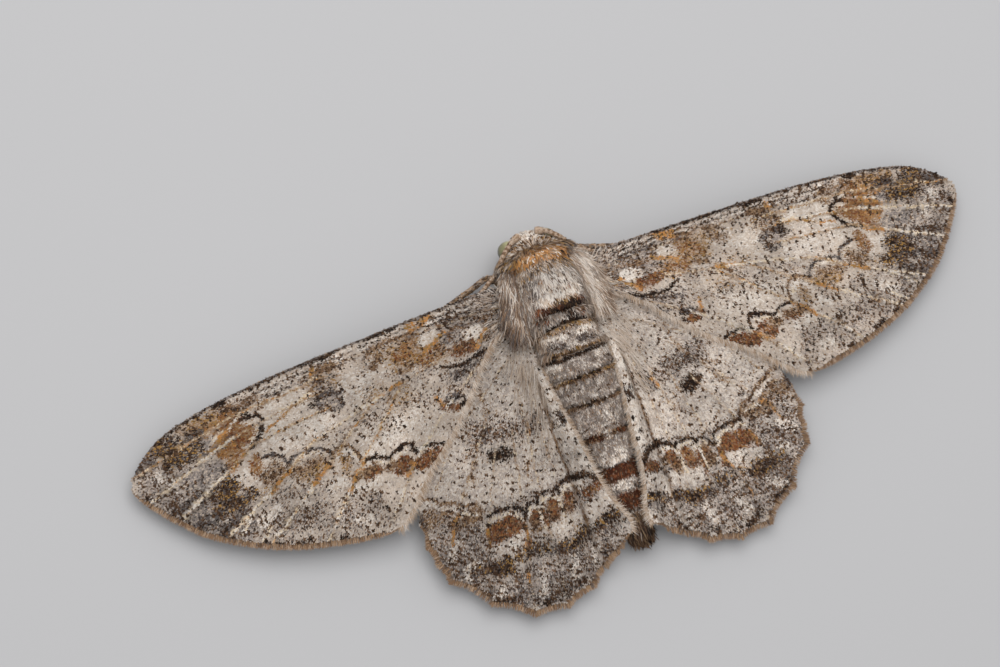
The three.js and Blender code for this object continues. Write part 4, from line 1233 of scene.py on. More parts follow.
    def edged(self, line: Array, hand: float, per_mm: float, depth: float, slant: float, lie: Lie,
              length: Array, tints: Sequence[Tint]) -> Shell:
        """Hair-scales in a band along an edge.

        Args:
            line: The edge in plan.
            hand: 1 or -1, for which side of the line is outwards.
            per_mm: How many for each millimetre.
            depth: How wide the band of roots is.
            slant: How far they lean along the line.
            lie: How they grow.
            length: Share of the full length at each of the line's points.
            tints: The colours that they take.

        Returns:
            The hair-scales.
        """
        reach = float(np.sum(np.linalg.norm(np.diff(line, axis=0), axis=1)))
        count = int(per_mm * reach)
        place = self.rng.random(count) * (len(line) - 1)
        step = place.astype(int)
        share = (place - step)[:, None]
        ends = np.minimum(step + 1, len(line) - 1)
        along = unit(np.gradient(line, axis=0))
        for _ in range(EDGE_PASSES):
            along = (np.vstack([along[:1], along[:-1]]) + 2 * along + np.vstack([along[1:], along[-1:]])) / 4
        along = unit(along[step] * (1 - share) + along[ends] * share)
        out = -hand * sideways(along)
        inwards = (depth * self.rng.random(count))[:, None]
        spot = line[step] * (1 - share) + line[ends] * share - out * inwards
        flat = unit(np.column_stack([out + slant * along, np.zeros(count)]))
        layer = self.rng.uniform(-0.5, 0.5, count) * self.thickness
        heights = self.surface(spot[:, 0], spot[:, 1]) - self.thickness / 2 + layer
        roots = np.column_stack([spot, heights])
        normals = self.normals(spot[:, 0], spot[:, 1]) * np.where(layer < 0, -1, 1)[:, None]
        colours = drawn(tints, spot[:, 0], spot[:, 1], self.rng, 0.12)
        colours = colours * self.rng.uniform(0.85, 1.1, count)[:, None]
        scale = np.interp(place, np.arange(len(line)), length)
        return lie.grow(roots, normals, flat, colours, self.unwrapped(spot[:, 0], spot[:, 1]), self.rng,
                        scale).shell()

    def fringe(self) -> Shell:
        """The outer margin's fringe, with short fuzz on the leading edge and soft hair on the inner one."""
        full = self.taper()
        even = np.ones(self.plan.rows)
        tips = (Tint.TAN, Tint.BEIGE, Tint.BROWN, Tint.BROWN)
        dark = (Tint.UMBER, Tint.BROWN, Tint.SLATE, Tint.TAN)
        edge = (Tint.UMBER, Tint.SLATE, Tint.BEIGE, Tint.BLACK)
        pale = (Tint.PALE, Tint.WHITE, Tint.BEIGE, Tint.TAN)
        above = Lie(self.plan.fringe, 0.022, 0.0, 0.0, stray=0.07, vary=0.08, cut=Cut.NARROW,
                    root_shade=0.45)
        below = replace(above, length=self.plan.fringe * 0.72, width=0.05, vary=0.15, root_shade=0.7)
        fuzz = Lie(0.1, 0.03, 0.1, 0.0, stray=0.25, cut=Cut.NARROW)
        soft = Lie(self.plan.inner_fringe, 0.015, 0.02, 0.15, stray=0.2, vary=0.35, cut=Cut.HAIR,
                   root_shade=0.75)
        return join([
            self.edged(self.margin, 1.0, 140, 0.05, 0.0, above, full, tips),
            self.edged(self.margin, 1.0, 110, 0.12, 0.0, below, full, dark),
            self.edged(self.spread[:, 0], 1.0, 90, 0.08, 0.9, fuzz, even, edge),
            self.edged(self.spread[:, -1], -1.0, 230, 0.14, 0.7, soft, even, pale),
        ])

    def down(self) -> Shell:
        """Long soft hair near the root; each kind of wing has its own."""
        raise NotImplementedError

    def build(self) -> None:
        """Makes all the wing's pieces."""
        pieces = (("membrane", self.membrane(), SKIN), ("coat", self.coat(False), COAT),
                  ("undercoat", self.coat(True), COAT), ("fringe", self.fringe(), COAT),
                  ("down", self.down(), HAIR))
        for name, shell, finish in pieces:
            self.dress(f"{self.stem}_{name}", shell, finish, "wing_scales", self.stem)

    def hairs(self, x: Array, y: Array, lie: Lie, along: Array, tints: Sequence[Tint]) -> Shell:
        """Hair rooted at the given places of the upper face."""
        colours = drawn(tints, x, y, self.rng) * self.tone_and_painted_shade * self.rng.uniform(0.85, 1.05, len(x))[:, None]
        roots = np.stack([x, y, self.surface(x, y)], axis=1)
        return lie.grow(roots, self.normals(x, y), along, colours, self.unwrapped(x, y), self.rng).shell()


@dataclass
class Forewing(Wing):
    """A forewing, which falls evenly outwards and lies over the hindwing."""

    plan: WingPlan = FOREWING_PLAN
    stem: str = "forewing"
    base_height: float = 2.15
    fall: float = 0.062
    droop: float = 0.1
    down_count: int = 700

    def level(self, x: Array, y: Array) -> Array:
        """Falls along the span, and droops towards the inner margin."""
        inner = np.asarray(self.plan.inner)
        near = y - np.interp(x, inner[:, 0], inner[:, 1])
        sunk = self.droop * (1 - smooth(near, 0.0, 1.6)) * smooth(x, 4, 7)
        return self.base_height - self.fall * (x - 2.0) - sunk

    def down(self) -> Shell:
        """Long flat scales over the wing's root, lying outwards from under the shoulder tuft."""
        x = self.rng.uniform(2.2, 4.2, self.down_count)
        y = self.rng.uniform(0.7, 2.9, self.down_count)
        kept = self.rng.random(self.down_count) < 1.0 - smooth(x, 2.8, 4.2)
        x, y = x[kept], y[kept]
        lie = Lie(0.42, 0.045, 0.06, 0.06, stray=0.12, cut=Cut.NARROW, root_shade=0.85)
        return self.hairs(x, y, lie, self.outwards(x, y),
                          (Tint.GREY, Tint.WHITE, Tint.BROWN, Tint.PALE, Tint.PALE))


@dataclass
class Hindwing(Wing):
    """A hindwing, which falls outwards and backwards while its inner margin climbs the abdomen's flank."""

    plan: WingPlan = HINDWING_PLAN
    stem: str = "hindwing"
    root_height: float = 1.86
    side_fall: float = 0.02
    rear_fall: float = 0.07
    lobe_lift: float = 0.95
    lobe_reach: float = 0.8
    fold_depth: float = 0.2
    curl: float = 0.26
    vein_height: float = 0.08
    vein_reach: float = 0.12
    hollow: float = 0.08
    down_count: int = 620

    def level(self, x: Array, y: Array) -> Array:
        """Slopes evenly, with a lobe lift * exp(-(d / reach)^2) by the inner margin and a fold outside it.

        The lobe's last stretch curls down by up to curl, on to the abdomen.
        """
        inner = np.asarray(self.plan.inner)[::-1]
        margin = np.interp(y, inner[:, 1], inner[:, 0])
        lobe = self.lobe_lift * bell(x - margin, self.lobe_reach) * smooth(-y, 0.1, 2.3)
        fold = self.fold_depth * bell(x - 2.33, 0.12) + self.curl * (1 - smooth(x - margin, 0.05, 0.55))
        flat = self.root_height - self.side_fall * x + self.rear_fall * y
        return flat + lobe - fold * smooth(-y, 0.3, 2.6)

    def down(self) -> Shell:
        """Long pale hair over the root, thinning backwards beside the fold."""
        y = self.rng.uniform(-5.6, 0.2, self.down_count)
        x = 1.95 + np.abs(self.rng.normal(0.0, 0.55, self.down_count)) + 0.06 * np.abs(y)
        kept = self.rng.random(self.down_count) < 1.0 - smooth(-y, 1.0, 5.8)
        x, y = x[kept], y[kept]
        back = unit(np.column_stack([0.1 + 0.12 * x, -np.ones(len(x)), np.zeros(len(x))]))
        lie = Lie(1.1, 0.024, 0.07, 0.06, stray=0.12, cut=Cut.HAIR, root_shade=0.95)
        return self.hairs(x, y, lie, back, (Tint.PALE, Tint.PALE, Tint.WHITE, Tint.BEIGE))


# ---- Body -----------------------------------------------------------------------------------------------

# y, half width, half height and height of the middle, out to the tips of the coat
BODY_STATIONS = (
    (-11.65, 0.55, 0.28, 0.8), (-11.2, 0.78, 0.4, 0.84), (-10.3, 0.8, 0.46, 0.88), (-9.4, 0.88, 0.52, 0.93),
    (-8.5, 1.02, 0.62, 1.03), (-7.2, 1.16, 0.85, 1.27), (-5.7, 1.3, 1.08, 1.56), (-4, 1.56, 1.25, 1.83),
    (-2.6, 1.78, 1.34, 1.95), (-1.4, 1.86, 1.37, 2), (-0.3, 1.82, 1.35, 2), (0.15, 1.88, 1.46, 2.08),
    (0.45, 1.92, 1.5, 2.1), (1.1, 1.98, 1.62, 2.19), (1.6, 2, 1.68, 2.22), (2.4, 1.98, 1.66, 2.2),
    (3.1, 1.86, 1.52, 2.13), (3.6, 1.6, 1.32, 2.08), (3.94, 1.34, 1.16, 1.95), (4.4, 1.3, 1.13, 1.7),
    (4.85, 1.1, 1, 1.54), (5.2, 0.78, 0.76, 1.42), (5.4, 0.4, 0.4, 1.36))

ABDOMEN_FOLDS = (-1.4, -2.6, -4.0, -5.7, -7.2, -8.5, -9.6)


@dataclass
class Body:
    """Head, thorax and abdomen under one skin, with a coat for each of them."""

    bench: Bench
    seed: int = 41
    tail: float = -10.95
    front: float = 5.27
    sides: int = 72
    rings: int = 240
    length: float = 17.0

    def __post_init__(self) -> None:
        """Keeps the body's own random numbers and its stations."""
        self.rng = np.random.default_rng(self.seed)
        self.stations = np.asarray(BODY_STATIONS)

    def coat_depth(self, y: Array) -> Array:
        """How far the skin lies inside the tips of the coat."""
        return np.interp(y, (-11, -9.6, -1.0, 0.2, 3.2, 4.2, 5.4), (0.08, 0.09, 0.11, 0.2, 0.24, 0.15, 0.1))

    def relief(self, y: Array, angle: Array, wide: Array) -> Array:
        """How far the skin stands out from its plain section: folds, collar, crest, neck and brows."""
        x = wide * np.cos(angle)
        top = smooth(np.sin(angle), -0.1, 0.5)
        bent = y - 0.2 * np.cos(angle) ** 2
        out = np.zeros_like(y)
        for fold in ABDOMEN_FOLDS:
            out += 0.06 * bell(bent - fold - 0.17, 0.13) - 0.12 * bell(bent - fold, 0.08)
        crest = 0.1 * bell(y - 1.1, 0.2) * bell(x, 1.0)
        out += top * (0.1 * bell(y - 3.6, 0.3) - 0.16 * bell(y - 4.2, 0.12) + crest)
        out -= top * (0.26 * bell(y - 0.1, 0.12) + 0.16 * bell(y - 0.74, 0.12))
        parting = 0.05 * bell(x, 0.1) * smooth(y, 4.3, 4.6)
        out += top * (0.07 * bell(y - 4.75, 0.25) * bell(np.abs(x) - 0.45, 0.25) - parting)
        return out + 0.85 * bell(y - 3.9, 0.5) * np.cos(angle) ** 4

    def skin_at(self, y: Array, angle: Array) -> Array:
        """Points of the skin, on an oval section drawn in by the coat's depth and rounded at both ends."""
        wide, high, middle = np.moveaxis(through(self.stations, y), -1, 0)
        depth = self.coat_depth(y)
        rear = np.clip((self.tail + 0.7 - y) / 0.7, 0, 1)
        fore = np.clip((y - self.front + 0.5) / 0.5, 0, 1)
        share = np.sqrt(np.clip(1 - rear ** 2, 0.0, 1)) * np.sqrt(np.clip(1 - fore ** 2, 0.0, 1))
        out = self.relief(y, angle, wide) * share
        wide, high = (wide - depth) * share + out, (high - depth) * share + out
        return np.stack([wide * np.cos(angle), y, middle + high * np.sin(angle)], axis=-1)

    def frame_at(self, y: Array, angle: Array, step: float = 0.02) -> tuple[Array, Array, Array]:
        """Points of the skin, their outward directions and the area that one unit of y and angle covers."""
        inner = np.clip(y, self.tail + step * 1.5, self.front - step * 1.5)
        lengthwise = (self.skin_at(inner + step, angle) - self.skin_at(inner - step, angle)) / (2 * step)
        round_it = (self.skin_at(inner, angle + step) - self.skin_at(inner, angle - step)) / (2 * step)
        across = np.cross(lengthwise, round_it)
        return self.skin_at(inner, angle), unit(across), np.linalg.norm(across, axis=-1)

    def skin(self) -> Shell:
        """The whole skin, closed at both ends, with its rings closer together there."""
        turn = np.linspace(0, math.pi, self.rings)
        closer = (self.tail + self.front) / 2 - (self.front - self.tail) / 2 * np.cos(turn)
        y = 0.25 * closer + 0.75 * np.linspace(self.tail, self.front, self.rings)
        angle = np.arange(self.sides) * (math.tau / self.sides)
        y, angle = np.meshgrid(y, angle, indexing="ij")
        made = closed_tube(self.skin_at(y, angle))
        colours = BODY_PATTERN.paint(made.points[:, 0], made.points[:, 1], self.rng, self.seed) * 0.6
        return replace(made, tints=colours)

    def coat(self, low: float, high: float, per_mm2: float, lie: Lie, forward: float = -1.0,
             part: float = 0.15, only_top: bool = False, beside: float = 0.0,
             tints: Sequence[Tint] = ()) -> Shell:
        """Scales or hair over a stretch of the body.

        Args:
            low: Rear end of the stretch.
            high: Front end of the stretch.
            per_mm2: How many for each square millimetre.
            lie: How they grow.
            forward: 1 where they lie forwards, -1 backwards.
            part: How far they lean outwards from the middle line, as a share of x.
            only_top: Whether they grow on the back alone.
            beside: They grow where |cos| of the angle round the body is more than this.
            tints: The colours that they take, where they don't follow the markings.

        Returns:
            The coat.
        """
        most = 2.3        # the area that one unit of y and angle covers where the body is widest
        tries = int(per_mm2 * (high - low) * math.tau * most)
        y = self.rng.uniform(low, high, tries)
        angle = self.rng.uniform(0, math.tau, tries)
        points, normals, area = self.frame_at(y, angle)
        kept = self.rng.random(tries) < area / most
        if only_top:
            kept &= np.sin(angle) > 0.15
        if beside:
            kept &= np.abs(np.cos(angle)) > beside + 0.2 * self.rng.random(tries) - 0.1
            kept &= np.sin(angle) > -0.2
        points, normals, y, angle = points[kept], normals[kept], y[kept], angle[kept]
        along = unit(np.column_stack([part * points[:, 0], np.full(len(y), forward), np.zeros(len(y))]))
        seen = points + along * lie.length * SEEN_AT
        if tints:
            colours = drawn(tints, seen[:, 0], seen[:, 1], self.rng)
            colours = colours * self.rng.uniform(0.85, 1.1, len(y))[:, None]
        else:
            colours = BODY_PATTERN.paint(seen[:, 0], seen[:, 1], self.rng, self.seed)
        places = np.column_stack([SEAM + ACROSS * angle / math.tau, (y - self.tail) / self.length])
        return lie.grow(points, normals, along, colours, places, self.rng).shell()

    def build(self) -> None:
        """Makes the skin and its coats."""
        self.bench.piece("body_skin", self.skin(), SKIN, "body_scales", "head", "thorax", "abdomen")
        scales = Lie(0.13, 0.055, 0.16, 0.08, stray=0.16)
        ring_edge = Lie(0.24, 0.06, 0.2, 0.14, stray=0.15)
        abdomen = [self.coat(-10.9, -0.05, 560, scales)]
        abdomen += [self.coat(fold + 0.1, fold + 0.28, 160, ring_edge) for fold in ABDOMEN_FOLDS]
        self.bench.piece("abdomen_coat", join(abdomen), COAT, "body_scales", "abdomen")
        brush = Lie(0.85, 0.045, 0.1, 0.12, stray=0.14, vary=0.12, cut=Cut.NARROW)
        short = Lie(0.5, 0.05, 0.16, 0.14, stray=0.14, cut=Cut.NARROW)
        tuft = join([self.coat(-10.9, -10.1, 300, brush), self.coat(-10.5, -9.7, 160, short)])
        self.bench.piece("tail_tuft", tuft, HAIR, "body_scales", "abdomen")
        short_scales = Lie(0.26, 0.05, 0.3, 0.24, stray=0.25, vary=0.25, cut=Cut.NARROW)
        streaks = Lie(0.55, 0.03, 0.14, 0.12, stray=0.12, sweep=0.3, vary=0.25, cut=Cut.HAIR)
        fawn = (Tint.PALE, Tint.BEIGE, Tint.GREY, Tint.WHITE, Tint.TAN, Tint.BROWN)
        crest = Lie(0.26, 0.045, 0.6, 0.25, stray=0.25, cut=Cut.NARROW)
        thorax = join([self.coat(0.1, 3.5, 330, short_scales), self.coat(2.2, 3.4, 140, streaks),
                       self.coat(-1.1, 3.4, 190, streaks, part=0.12, beside=0.72, tints=fawn),
                       self.coat(0.9, 1.15, 300, crest, only_top=True),
                       self.coat(0.4, 0.75, 160, crest, only_top=True)])
        self.bench.piece("thorax_coat", thorax, HAIR, "body_scales", "thorax")
        ruff = Lie(0.36, 0.055, 0.22, 0.2, stray=0.18, cut=Cut.NARROW)
        collar = self.coat(3.2, 4.3, 340, ruff, part=0.35)
        self.bench.piece("collar_coat", collar, HAIR, "body_scales", "thorax")
        face = Lie(0.2, 0.05, 0.3, 0.25, stray=0.3, cut=Cut.NARROW)
        quiff = Lie(0.28, 0.045, 0.4, 0.3, stray=0.35, cut=Cut.HAIR)
        brow = Lie(0.42, 0.05, 0.1, 0.22, stray=0.2, cut=Cut.NARROW)
        head = join([self.coat(4.2, 5.2, 380, face, forward=0.5, part=0.5),
                     self.coat(5.05, 5.24, 500, face, forward=0.2, part=-1.0),
                     self.coat(4.3, 5.0, 150, brow, forward=0.3, part=2.5, only_top=True),
                     self.coat(4.8, 5.1, 160, quiff, forward=0.8, part=0.3)])
        self.bench.piece("head_coat", head, COAT, "body_scales", "head")


# ---- Tubes: shoulder tufts, feelers, palps and legs -----------------------------------------------------


@dataclass(frozen=True)
class Sleeve:
    """A tube along a path, with short scales or hair over it."""

    path: Array
    wide: Array
    high: Array
    sides: int = 12

    def shell(self, tints: Array) -> Shell:
        """The closed tube."""
        return closed_tube(tube_along(self.path, self.wide, self.high, self.sides), tints)

    def coat(self, count: int, lie: Lie, tints: Sequence[Tint], rng: np.random.Generator,
             lean: Array | float = 0.0, scale: Array | None = None, fan: float = 0.0,
             streak: float = 1.0) -> Shell:
        """Scales or hair rooted over the tube and lying towards its far end.

        Args:
            count: How many.
            lie: How they grow.
            tints: The colours that they take.
            rng: Draws their places.
            lean: An extra direction added to the path's own.
            scale: Share of the full length at each of the path's points.
            fan: How far they spread away from the path at its sides.
            streak: How much longer than wide the patches of like colour are.

        Returns:
            The coat.
        """
        place = rng.random(count) * (len(self.path) - 1.001)
        step = place.astype(int)
        share = (place - step)[:, None]
        angle = rng.uniform(0, math.tau, count)
        along, level, over = upright(self.path)

        def between(rows: Array) -> Array:
            """Reads rows of the path at each place."""
            return rows[step] * (1 - share) + rows[step + 1] * share

        wide, high = between(self.wide[:, None]), between(self.high[:, None])
        cosine, sine = np.cos(angle)[:, None], np.sin(angle)[:, None]
        roots = between(self.path) + between(level) * wide * cosine + between(over) * high * sine
        normals = unit(between(level) * high * cosine + between(over) * wide * sine)
        colours = drawn(tints, roots[:, 0], roots[:, 1] / streak, rng, 0.16, 0.9)
        colours = colours * rng.uniform(0.9, 1.08, count)[:, None]
        places = np.column_stack([SEAM + ACROSS * place / len(self.path), SEAM + ACROSS * angle / math.tau])
        size = 1.0 if scale is None else np.interp(place, np.arange(len(self.path)), scale)
        way = unit(between(along) + between(level) * cosine * fan + lean)
        return lie.grow(roots, normals, way, colours, places, rng, size).shell()


@dataclass
class ShoulderTuft(Sided):
    """The fan of long hair over a forewing's root."""

    seed: int
    hairs: int = 3000
    rings: int = 40

    def build(self) -> None:
        """Makes the pad and its hair."""
        rng = np.random.default_rng(self.seed)
        # x, y, z, half width, half height from the front backwards
        rows = curve_through(((1.4, 3.8, 2.3, 0.1, 0.1), (1.62, 3.4, 2.52, 0.42, 0.2),
                              (1.78, 2.6, 2.64, 0.62, 0.22), (1.95, 1.8, 2.62, 0.66, 0.2),
                              (2.1, 1.1, 2.52, 0.52, 0.17), (2.2, 0.5, 2.44, 0.3, 0.12)), self.rings)
        sleeve = Sleeve(rows[:, :3], rows[:, 3], rows[:, 4], 20)
        pad = sleeve.shell(np.tile(Tint.BEIGE.light * 0.6, (self.rings, 1)))
        self.dress("shoulder_pad", pad, SKIN, "long_hair", "tegula")
        lie = Lie(0.85, 0.028, 0.1, 0.12, stray=0.12, sweep=0.3, vary=0.22, cut=Cut.HAIR, root_shade=0.7)
        over = Lie(0.5, 0.034, 0.14, 0.16, stray=0.16, sweep=0.35, vary=0.22, cut=Cut.NARROW,
                   root_shade=0.75)
        # The left tuft takes darker tints and the right one paler ones: painted shade and painted light, as
        # if lit from the moth's right.
        own = {Side.RIGHT: (Tint.WHITE, Tint.PALE),
               Side.LEFT: (Tint.SLATE, Tint.BROWN, Tint.UMBER, Tint.SLATE, Tint.BROWN)}
        shades = (Tint.PALE, Tint.GREY, Tint.WHITE, Tint.BROWN, Tint.BEIGE, *own[self.side])
        layers = ((lie, shades, (0.15, 0.0, -0.1)), (over, (*shades, Tint.PALE), (0.12, 0.0, 0.0)))
        hair = join([sleeve.coat(self.hairs, kind, colours, rng, lean, fan=0.2, streak=5.0)
                     for kind, colours, lean in layers])
        self.dress("shoulder_hair", hair, HAIR, "long_hair", "tegula")


@dataclass
class Eye(Sided):
    """A compound eye: a spheroid in the head's side."""

    middle: tuple[float, float, float] = (1.02, 4.62, 1.58)
    radii: tuple[float, float, float] = (0.52, 0.5, 0.58)
    rings: int = 40
    sides: int = 48

    def build(self) -> None:
        """Makes the eye: dark below and olive above, turning yellow-green above except on its outer side."""
        polar = np.linspace(0.03, math.pi - 0.03, self.rings)[:, None]
        angle = np.arange(self.sides)[None] * (math.tau / self.sides)
        ball = np.stack([np.cos(polar) + 0 * angle, np.sin(polar) * np.cos(angle),
                         np.sin(polar) * np.sin(angle)], axis=-1)
        made = closed_tube(ball)
        high = smooth(made.points[:, 2], -0.2, 0.9)[:, None]
        rim = smooth(0.5 - made.points[:, 0], 0.0, 0.6)[:, None]
        dark = np.array([0.06, 0.055, 0.03])
        olive = np.array([0.24, 0.22, 0.1])
        lime = np.array([0.5, 0.47, 0.24])
        colour = dark * (1 - high) + olive * high
        made.tints = colour * (1 - rim * high) + lime * rim * high
        made.points = made.points * self.radii + self.middle
        self.dress("compound_eye", made, EYE, "eye", "eye")


@dataclass
class Feeler(Sided):
    """An antenna that runs out under the forewing's leading edge: a pale base, then a ringed shaft."""

    seed: int
    path: Path = ((0.42, 5, 2.48), (1, 4.76, 2.46), (1.58, 4.28, 2.26), (2.04, 3.75, 1.99),
                  (2.6, 3.4, 1.77), (3.4, 3, 1.62), (5.5, 2.45, 1.45), (8, 1.9, 1.3), (10.2, 1.3, 1.16))
    rings: int = 170
    base_radius: float = 0.13
    tip_radius: float = 0.05

    def build(self) -> None:
        """Makes the shaft and its scales."""
        rng = np.random.default_rng(self.seed)
        line = curve_through(self.path, self.rings)
        s = np.linspace(0, 1, self.rings)
        joint = 1.0 + 0.12 * np.sin(s * self.rings * math.pi / 2)
        radius = (self.base_radius + (self.tip_radius - self.base_radius) * s) * joint
        radius = radius + 0.07 * bell(s - 0.015, 0.02)
        sleeve = Sleeve(line, radius, radius, 10)
        pale = (s < 0.05)[:, None]
        ringed = (np.arange(self.rings) % 4 < 2)[:, None]
        shaft = np.where(ringed, Tint.BEIGE.light, Tint.BROWN.light)
        colours = np.where(pale, Tint.BEIGE.light, shaft)
        scales = Lie(0.09, 0.045, 0.12, 0.05, stray=0.2)
        coat = sleeve.coat(2600, scales, (Tint.TAN, Tint.BEIGE, Tint.PALE, Tint.BROWN), rng)
        self.dress("feeler_shaft", sleeve.shell(colours), HORN, "feeler", "antenna")
        self.dress("feeler_scales", coat, COAT, "feeler", "antenna")


@dataclass
class Palp(Sided):
    """A short scaled palp under the head."""

    seed: int
    rings: int = 24

    def build(self) -> None:
        """Makes the palp and its scales."""
        rng = np.random.default_rng(self.seed)
        line = curve_through(((0.34, 4.5, 0.4), (0.33, 4.95, 0.32), (0.32, 5.25, 0.46)), self.rings)
        s = np.linspace(0, 1, self.rings)
        radius = 0.14 * np.sqrt(np.clip(1.02 - s ** 3, 0, 1)) * (1 - 0.3 * s)
        sleeve = Sleeve(line, radius, radius, 12)
        coat = sleeve.coat(420, Lie(0.16, 0.06, 0.2, 0.1, cut=Cut.NARROW),
                           (Tint.GREY, Tint.UMBER, Tint.BEIGE), rng)
        shell = sleeve.shell(np.tile(Tint.BROWN.light, (self.rings, 1)))
        self.dress("palp_skin", shell, SKIN, "body_scales", "palp")
        self.dress("palp_scales", coat, COAT, "body_scales", "palp")


class Pair(Enum):
    """The three pairs of legs, each with its joints as x, y, z and radius."""

    FORELEG = ((1.05, 2.85, 0.46, 0.22), (1.75, 3.35, 0.6, 0.2), (2.33, 3.8, 0.74, 0.14),
               (3.3, 3.58, 0.6, 0.12), (4.4, 3.3, 0.34, 0.11), (5.4, 3, 0.12, 0.085), (7, 2.4, 0.07, 0.055))
    MIDLEG = ((1.3, 1.5, 0.46, 0.24), (2.6, 1.75, 0.85, 0.2), (4.3, 1.6, 0.92, 0.15), (5.7, 0.8, 0.5, 0.12),
              (6.7, 0.2, 0.12, 0.09), (8.4, -0.8, 0.07, 0.055))
    HINDLEG = ((1.3, 0.2, 0.46, 0.24), (2.4, -0.6, 0.8, 0.2), (3.5, -1.7, 0.82, 0.15),
               (3.9, -3.8, 0.42, 0.12), (4, -5.3, 0.12, 0.09), (4.3, -7.2, 0.07, 0.055))


@dataclass
class Leg(Sided):
    """A leg with its foot on the floor: scaled segments, spurs at the shin's end and two claws."""

    pair: Pair
    seed: int
    rings: int = 110
    shin_end: float = 0.62
    foot: float = 0.64
    foot_joints: int = 5
    clearance: float = 0.004

    def spur(self, root: Array, tip: Array, radius: float, tint: Tint) -> Shell:
        """A slender cone, bent down a little, from root to tip."""
        s = np.linspace(0, 1, 7)[:, None]
        line = root + (tip - root) * s - np.array([0.0, 0.0, 0.06]) * s * (1 - s)
        line[:, 2] = np.maximum(line[:, 2], 0.025)
        thick = radius * (1.0 - 0.85 * s[:, 0])
        return closed_tube(tube_along(line, thick, thick, 6), np.tile(tint.light, (7, 1)))

    def build(self) -> None:
        """Makes the leg and its scales."""
        rng = np.random.default_rng(self.seed)
        rows = curve_through(self.pair.value, self.rings)
        line, radius = rows[:, :3], rows[:, 3]
        s = np.linspace(0, 1, self.rings)
        toes = smooth(s, self.shin_end, 0.66)
        beads = np.sin((s - self.foot) / (1 - self.foot) * self.foot_joints * math.tau)
        radius = radius * (1 + toes * 0.22 * beads)
        line[:, 2] = np.maximum(line[:, 2], radius + self.clearance)
        sleeve = Sleeve(line, radius, radius, 12)
        dark = ((beads < -0.2) & (toes > 0.5))[:, None]
        colours = np.where(dark, Tint.UMBER.light, Tint.TAN.light)
        shin = int(self.shin_end * self.rings)
        way = unit(line[-1] - line[-5])
        square = unit(np.cross(way, UP))
        parts = [sleeve.shell(colours)]
        for hand in (-1, 1):
            parts.append(self.spur(line[-1], line[-1] + way * 0.16 + square * 0.09 * hand, 0.03, Tint.UMBER))
            if self.pair is not Pair.FORELEG:
                lean = unit(line[shin + 6] - line[shin])
                level = unit(np.cross(lean, UP))
                parts.append(self.spur(line[shin], line[shin] + lean * 0.55 + level * 0.16 * hand, 0.04,
                                       Tint.TAN))
        short = Lie(0.15, 0.07, 0.12, 0.06, stray=0.15)
        scales = sleeve.coat(2600, short, (Tint.BEIGE, Tint.TAN, Tint.GREY, Tint.UMBER), rng, 0.0,
                             np.interp(s, (0, 0.6, 1), (1.3, 1.0, 0.6)))
        scales.points[:, 2] = np.maximum(scales.points[:, 2], self.clearance)
        stem = self.pair.name.lower()
        self.dress(f"{stem}_limb", join(parts), HORN, "leg", stem)
        self.dress(f"{stem}_scales", scales, COAT, "leg", stem)


# ---- The set --------------------------------------------------------------------------------------------


@dataclass(frozen=True)
class Viewpoint:
    """A camera aimed at a point of the moth; azimuth 0 looks along +Y, and roll turns it on its own axis."""

    bench: Bench
    azimuth: float = -59.2
    elevation: float = 74.6
    roll: float = 38.1
    distance: float = 137.1
    aim: tuple[float, float, float] = (-2.92, 0.92, 1.4)
    lens: float = 100.0

    def build(self) -> None:
        """Adds the camera."""
        turn, rise, roll = (math.radians(v) for v in (self.azimuth, self.elevation, self.roll))
        ahead = Vector((-math.sin(turn) * math.cos(rise), math.cos(turn) * math.cos(rise), -math.sin(rise)))
        level = Vector((math.cos(turn), math.sin(turn), 0.0))
        over = level.cross(ahead)
        right = level * math.cos(roll) + over * math.sin(roll)
        up = over * math.cos(roll) - level * math.sin(roll)
        data = bpy.data.cameras.new("viewpoint")
        data.lens = self.lens
        data.clip_start = 10 * self.bench.metre
        data.clip_end = 3000 * self.bench.metre
        camera = bpy.data.objects.new("viewpoint", data)
        bpy.context.scene.collection.objects.link(camera)
        aim = Vector(self.bench.place(np.array(self.aim)))
        turned = Matrix((right, up, -ahead)).transposed().to_4x4()
        camera.matrix_world = Matrix.Translation(aim - ahead * self.distance * self.bench.metre) @ turned
        bpy.context.scene.camera = camera


@dataclass(frozen=True)
class Lamp:
    """A soft square lamp, placed by its bearing from +X towards +Y, its height in degrees and distance."""

    bench: Bench
    name: str
    bearing: float
    height: float
    distance: float
    size: float
    watts: float

    def build(self) -> None:
        """Adds the lamp, facing the moth."""
        data = bpy.data.lights.new(self.name, "AREA")
        data.size = self.size * self.bench.metre
        data.energy = self.watts
        lamp = bpy.data.objects.new(self.name, data)
        bpy.context.scene.collection.objects.link(lamp)
        turn, rise = math.radians(self.bearing), math.radians(self.height)
        way = Vector((math.cos(turn) * math.cos(rise), math.sin(turn) * math.cos(rise), math.sin(rise)))
        lamp.location = way * self.distance * self.bench.metre
        lamp.rotation_euler = way.to_track_quat("Z", "Y").to_euler()


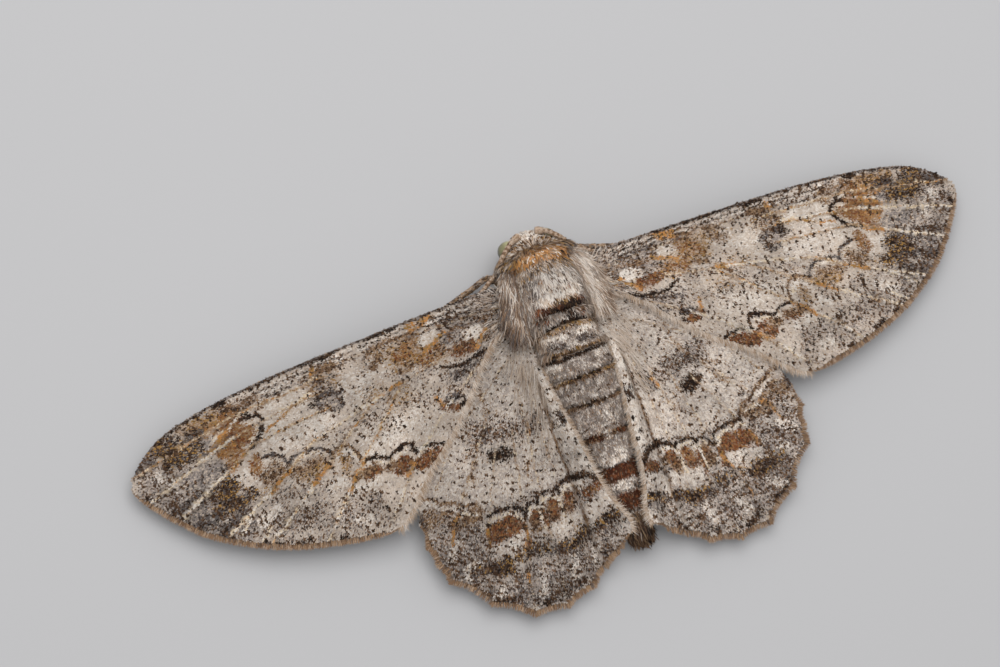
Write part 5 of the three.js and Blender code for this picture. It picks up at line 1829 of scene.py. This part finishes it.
@dataclass(frozen=True)
class Room:
    """A plain pale floor under soft light from all sides."""

    bench: Bench
    floor_size: float = 900.0
    floor_tint: tuple[float, float, float] = (0.5, 0.495, 0.5)
    sky: tuple[float, float, float] = (0.98, 0.99, 1.0)
    sky_strength: float = 0.65

    def build(self) -> None:
        """Adds the floor and the sky."""
        half = self.floor_size * self.bench.metre / 2
        mesh = bpy.data.meshes.new("floor")
        corners = [(-half, -half, 0), (half, -half, 0), (half, half, 0), (-half, half, 0)]
        mesh.from_pydata(corners, [], [(0, 1, 2, 3)])
        floor = bpy.data.objects.new("floor", mesh)
        bpy.context.scene.collection.objects.link(floor)
        g = Graph("pale_floor")
        paint = {"Base Color": (*self.floor_tint, 1.0), "Roughness": 0.9, "Specular IOR Level": 0.1}
        shader = g.node("ShaderNodeBsdfPrincipled", {}, paint)
        g.node("ShaderNodeOutputMaterial", {}, {"Surface": shader})
        floor.data.materials.append(g.material)
        world = bpy.data.worlds.new("sky")
        world.use_nodes = True
        ground = world.node_tree.nodes["Background"]
        ground.inputs["Color"].default_value = (*self.sky, 1.0)
        ground.inputs["Strength"].default_value = self.sky_strength
        bpy.context.scene.world = world


def main() -> None:
    """Builds the moth from its wings inwards, then the set."""
    logging.basicConfig(level=logging.INFO, format="%(message)s")
    bench = Bench.from_solids()
    log.info("one millimetre is %.6f m, set forward by %.3f", bench.metre, bench.forward)
    for seed, side in enumerate(Side):
        # The left wings are darker than the right ones: painted shade, as if the light came from the moth's
        # right.
        Hindwing(bench, side, seed=200 + seed, tone_and_painted_shade=0.74 if side is Side.LEFT else 0.95).build()
        Forewing(bench, side, seed=100 + seed, tone_and_painted_shade=0.8 if side is Side.LEFT else 0.86).build()
        Feeler(bench, side, seed=300 + seed).build()
        Eye(bench, side).build()
        Palp(bench, side, seed=400 + seed).build()
        ShoulderTuft(bench, side, seed=500 + seed).build()
        for number, pair in enumerate(Pair):
            Leg(bench, side, pair, seed=600 + 10 * seed + number).build()
    Body(bench).build()
    Room(bench).build()
    Lamp(bench, "key", bearing=84.0, height=70.0, distance=160.0, size=150.0, watts=0.165).build()
    Viewpoint(bench).build()
    bpy.context.scene.view_settings.view_transform = "Standard"


if __name__ == "__main__":
    main()
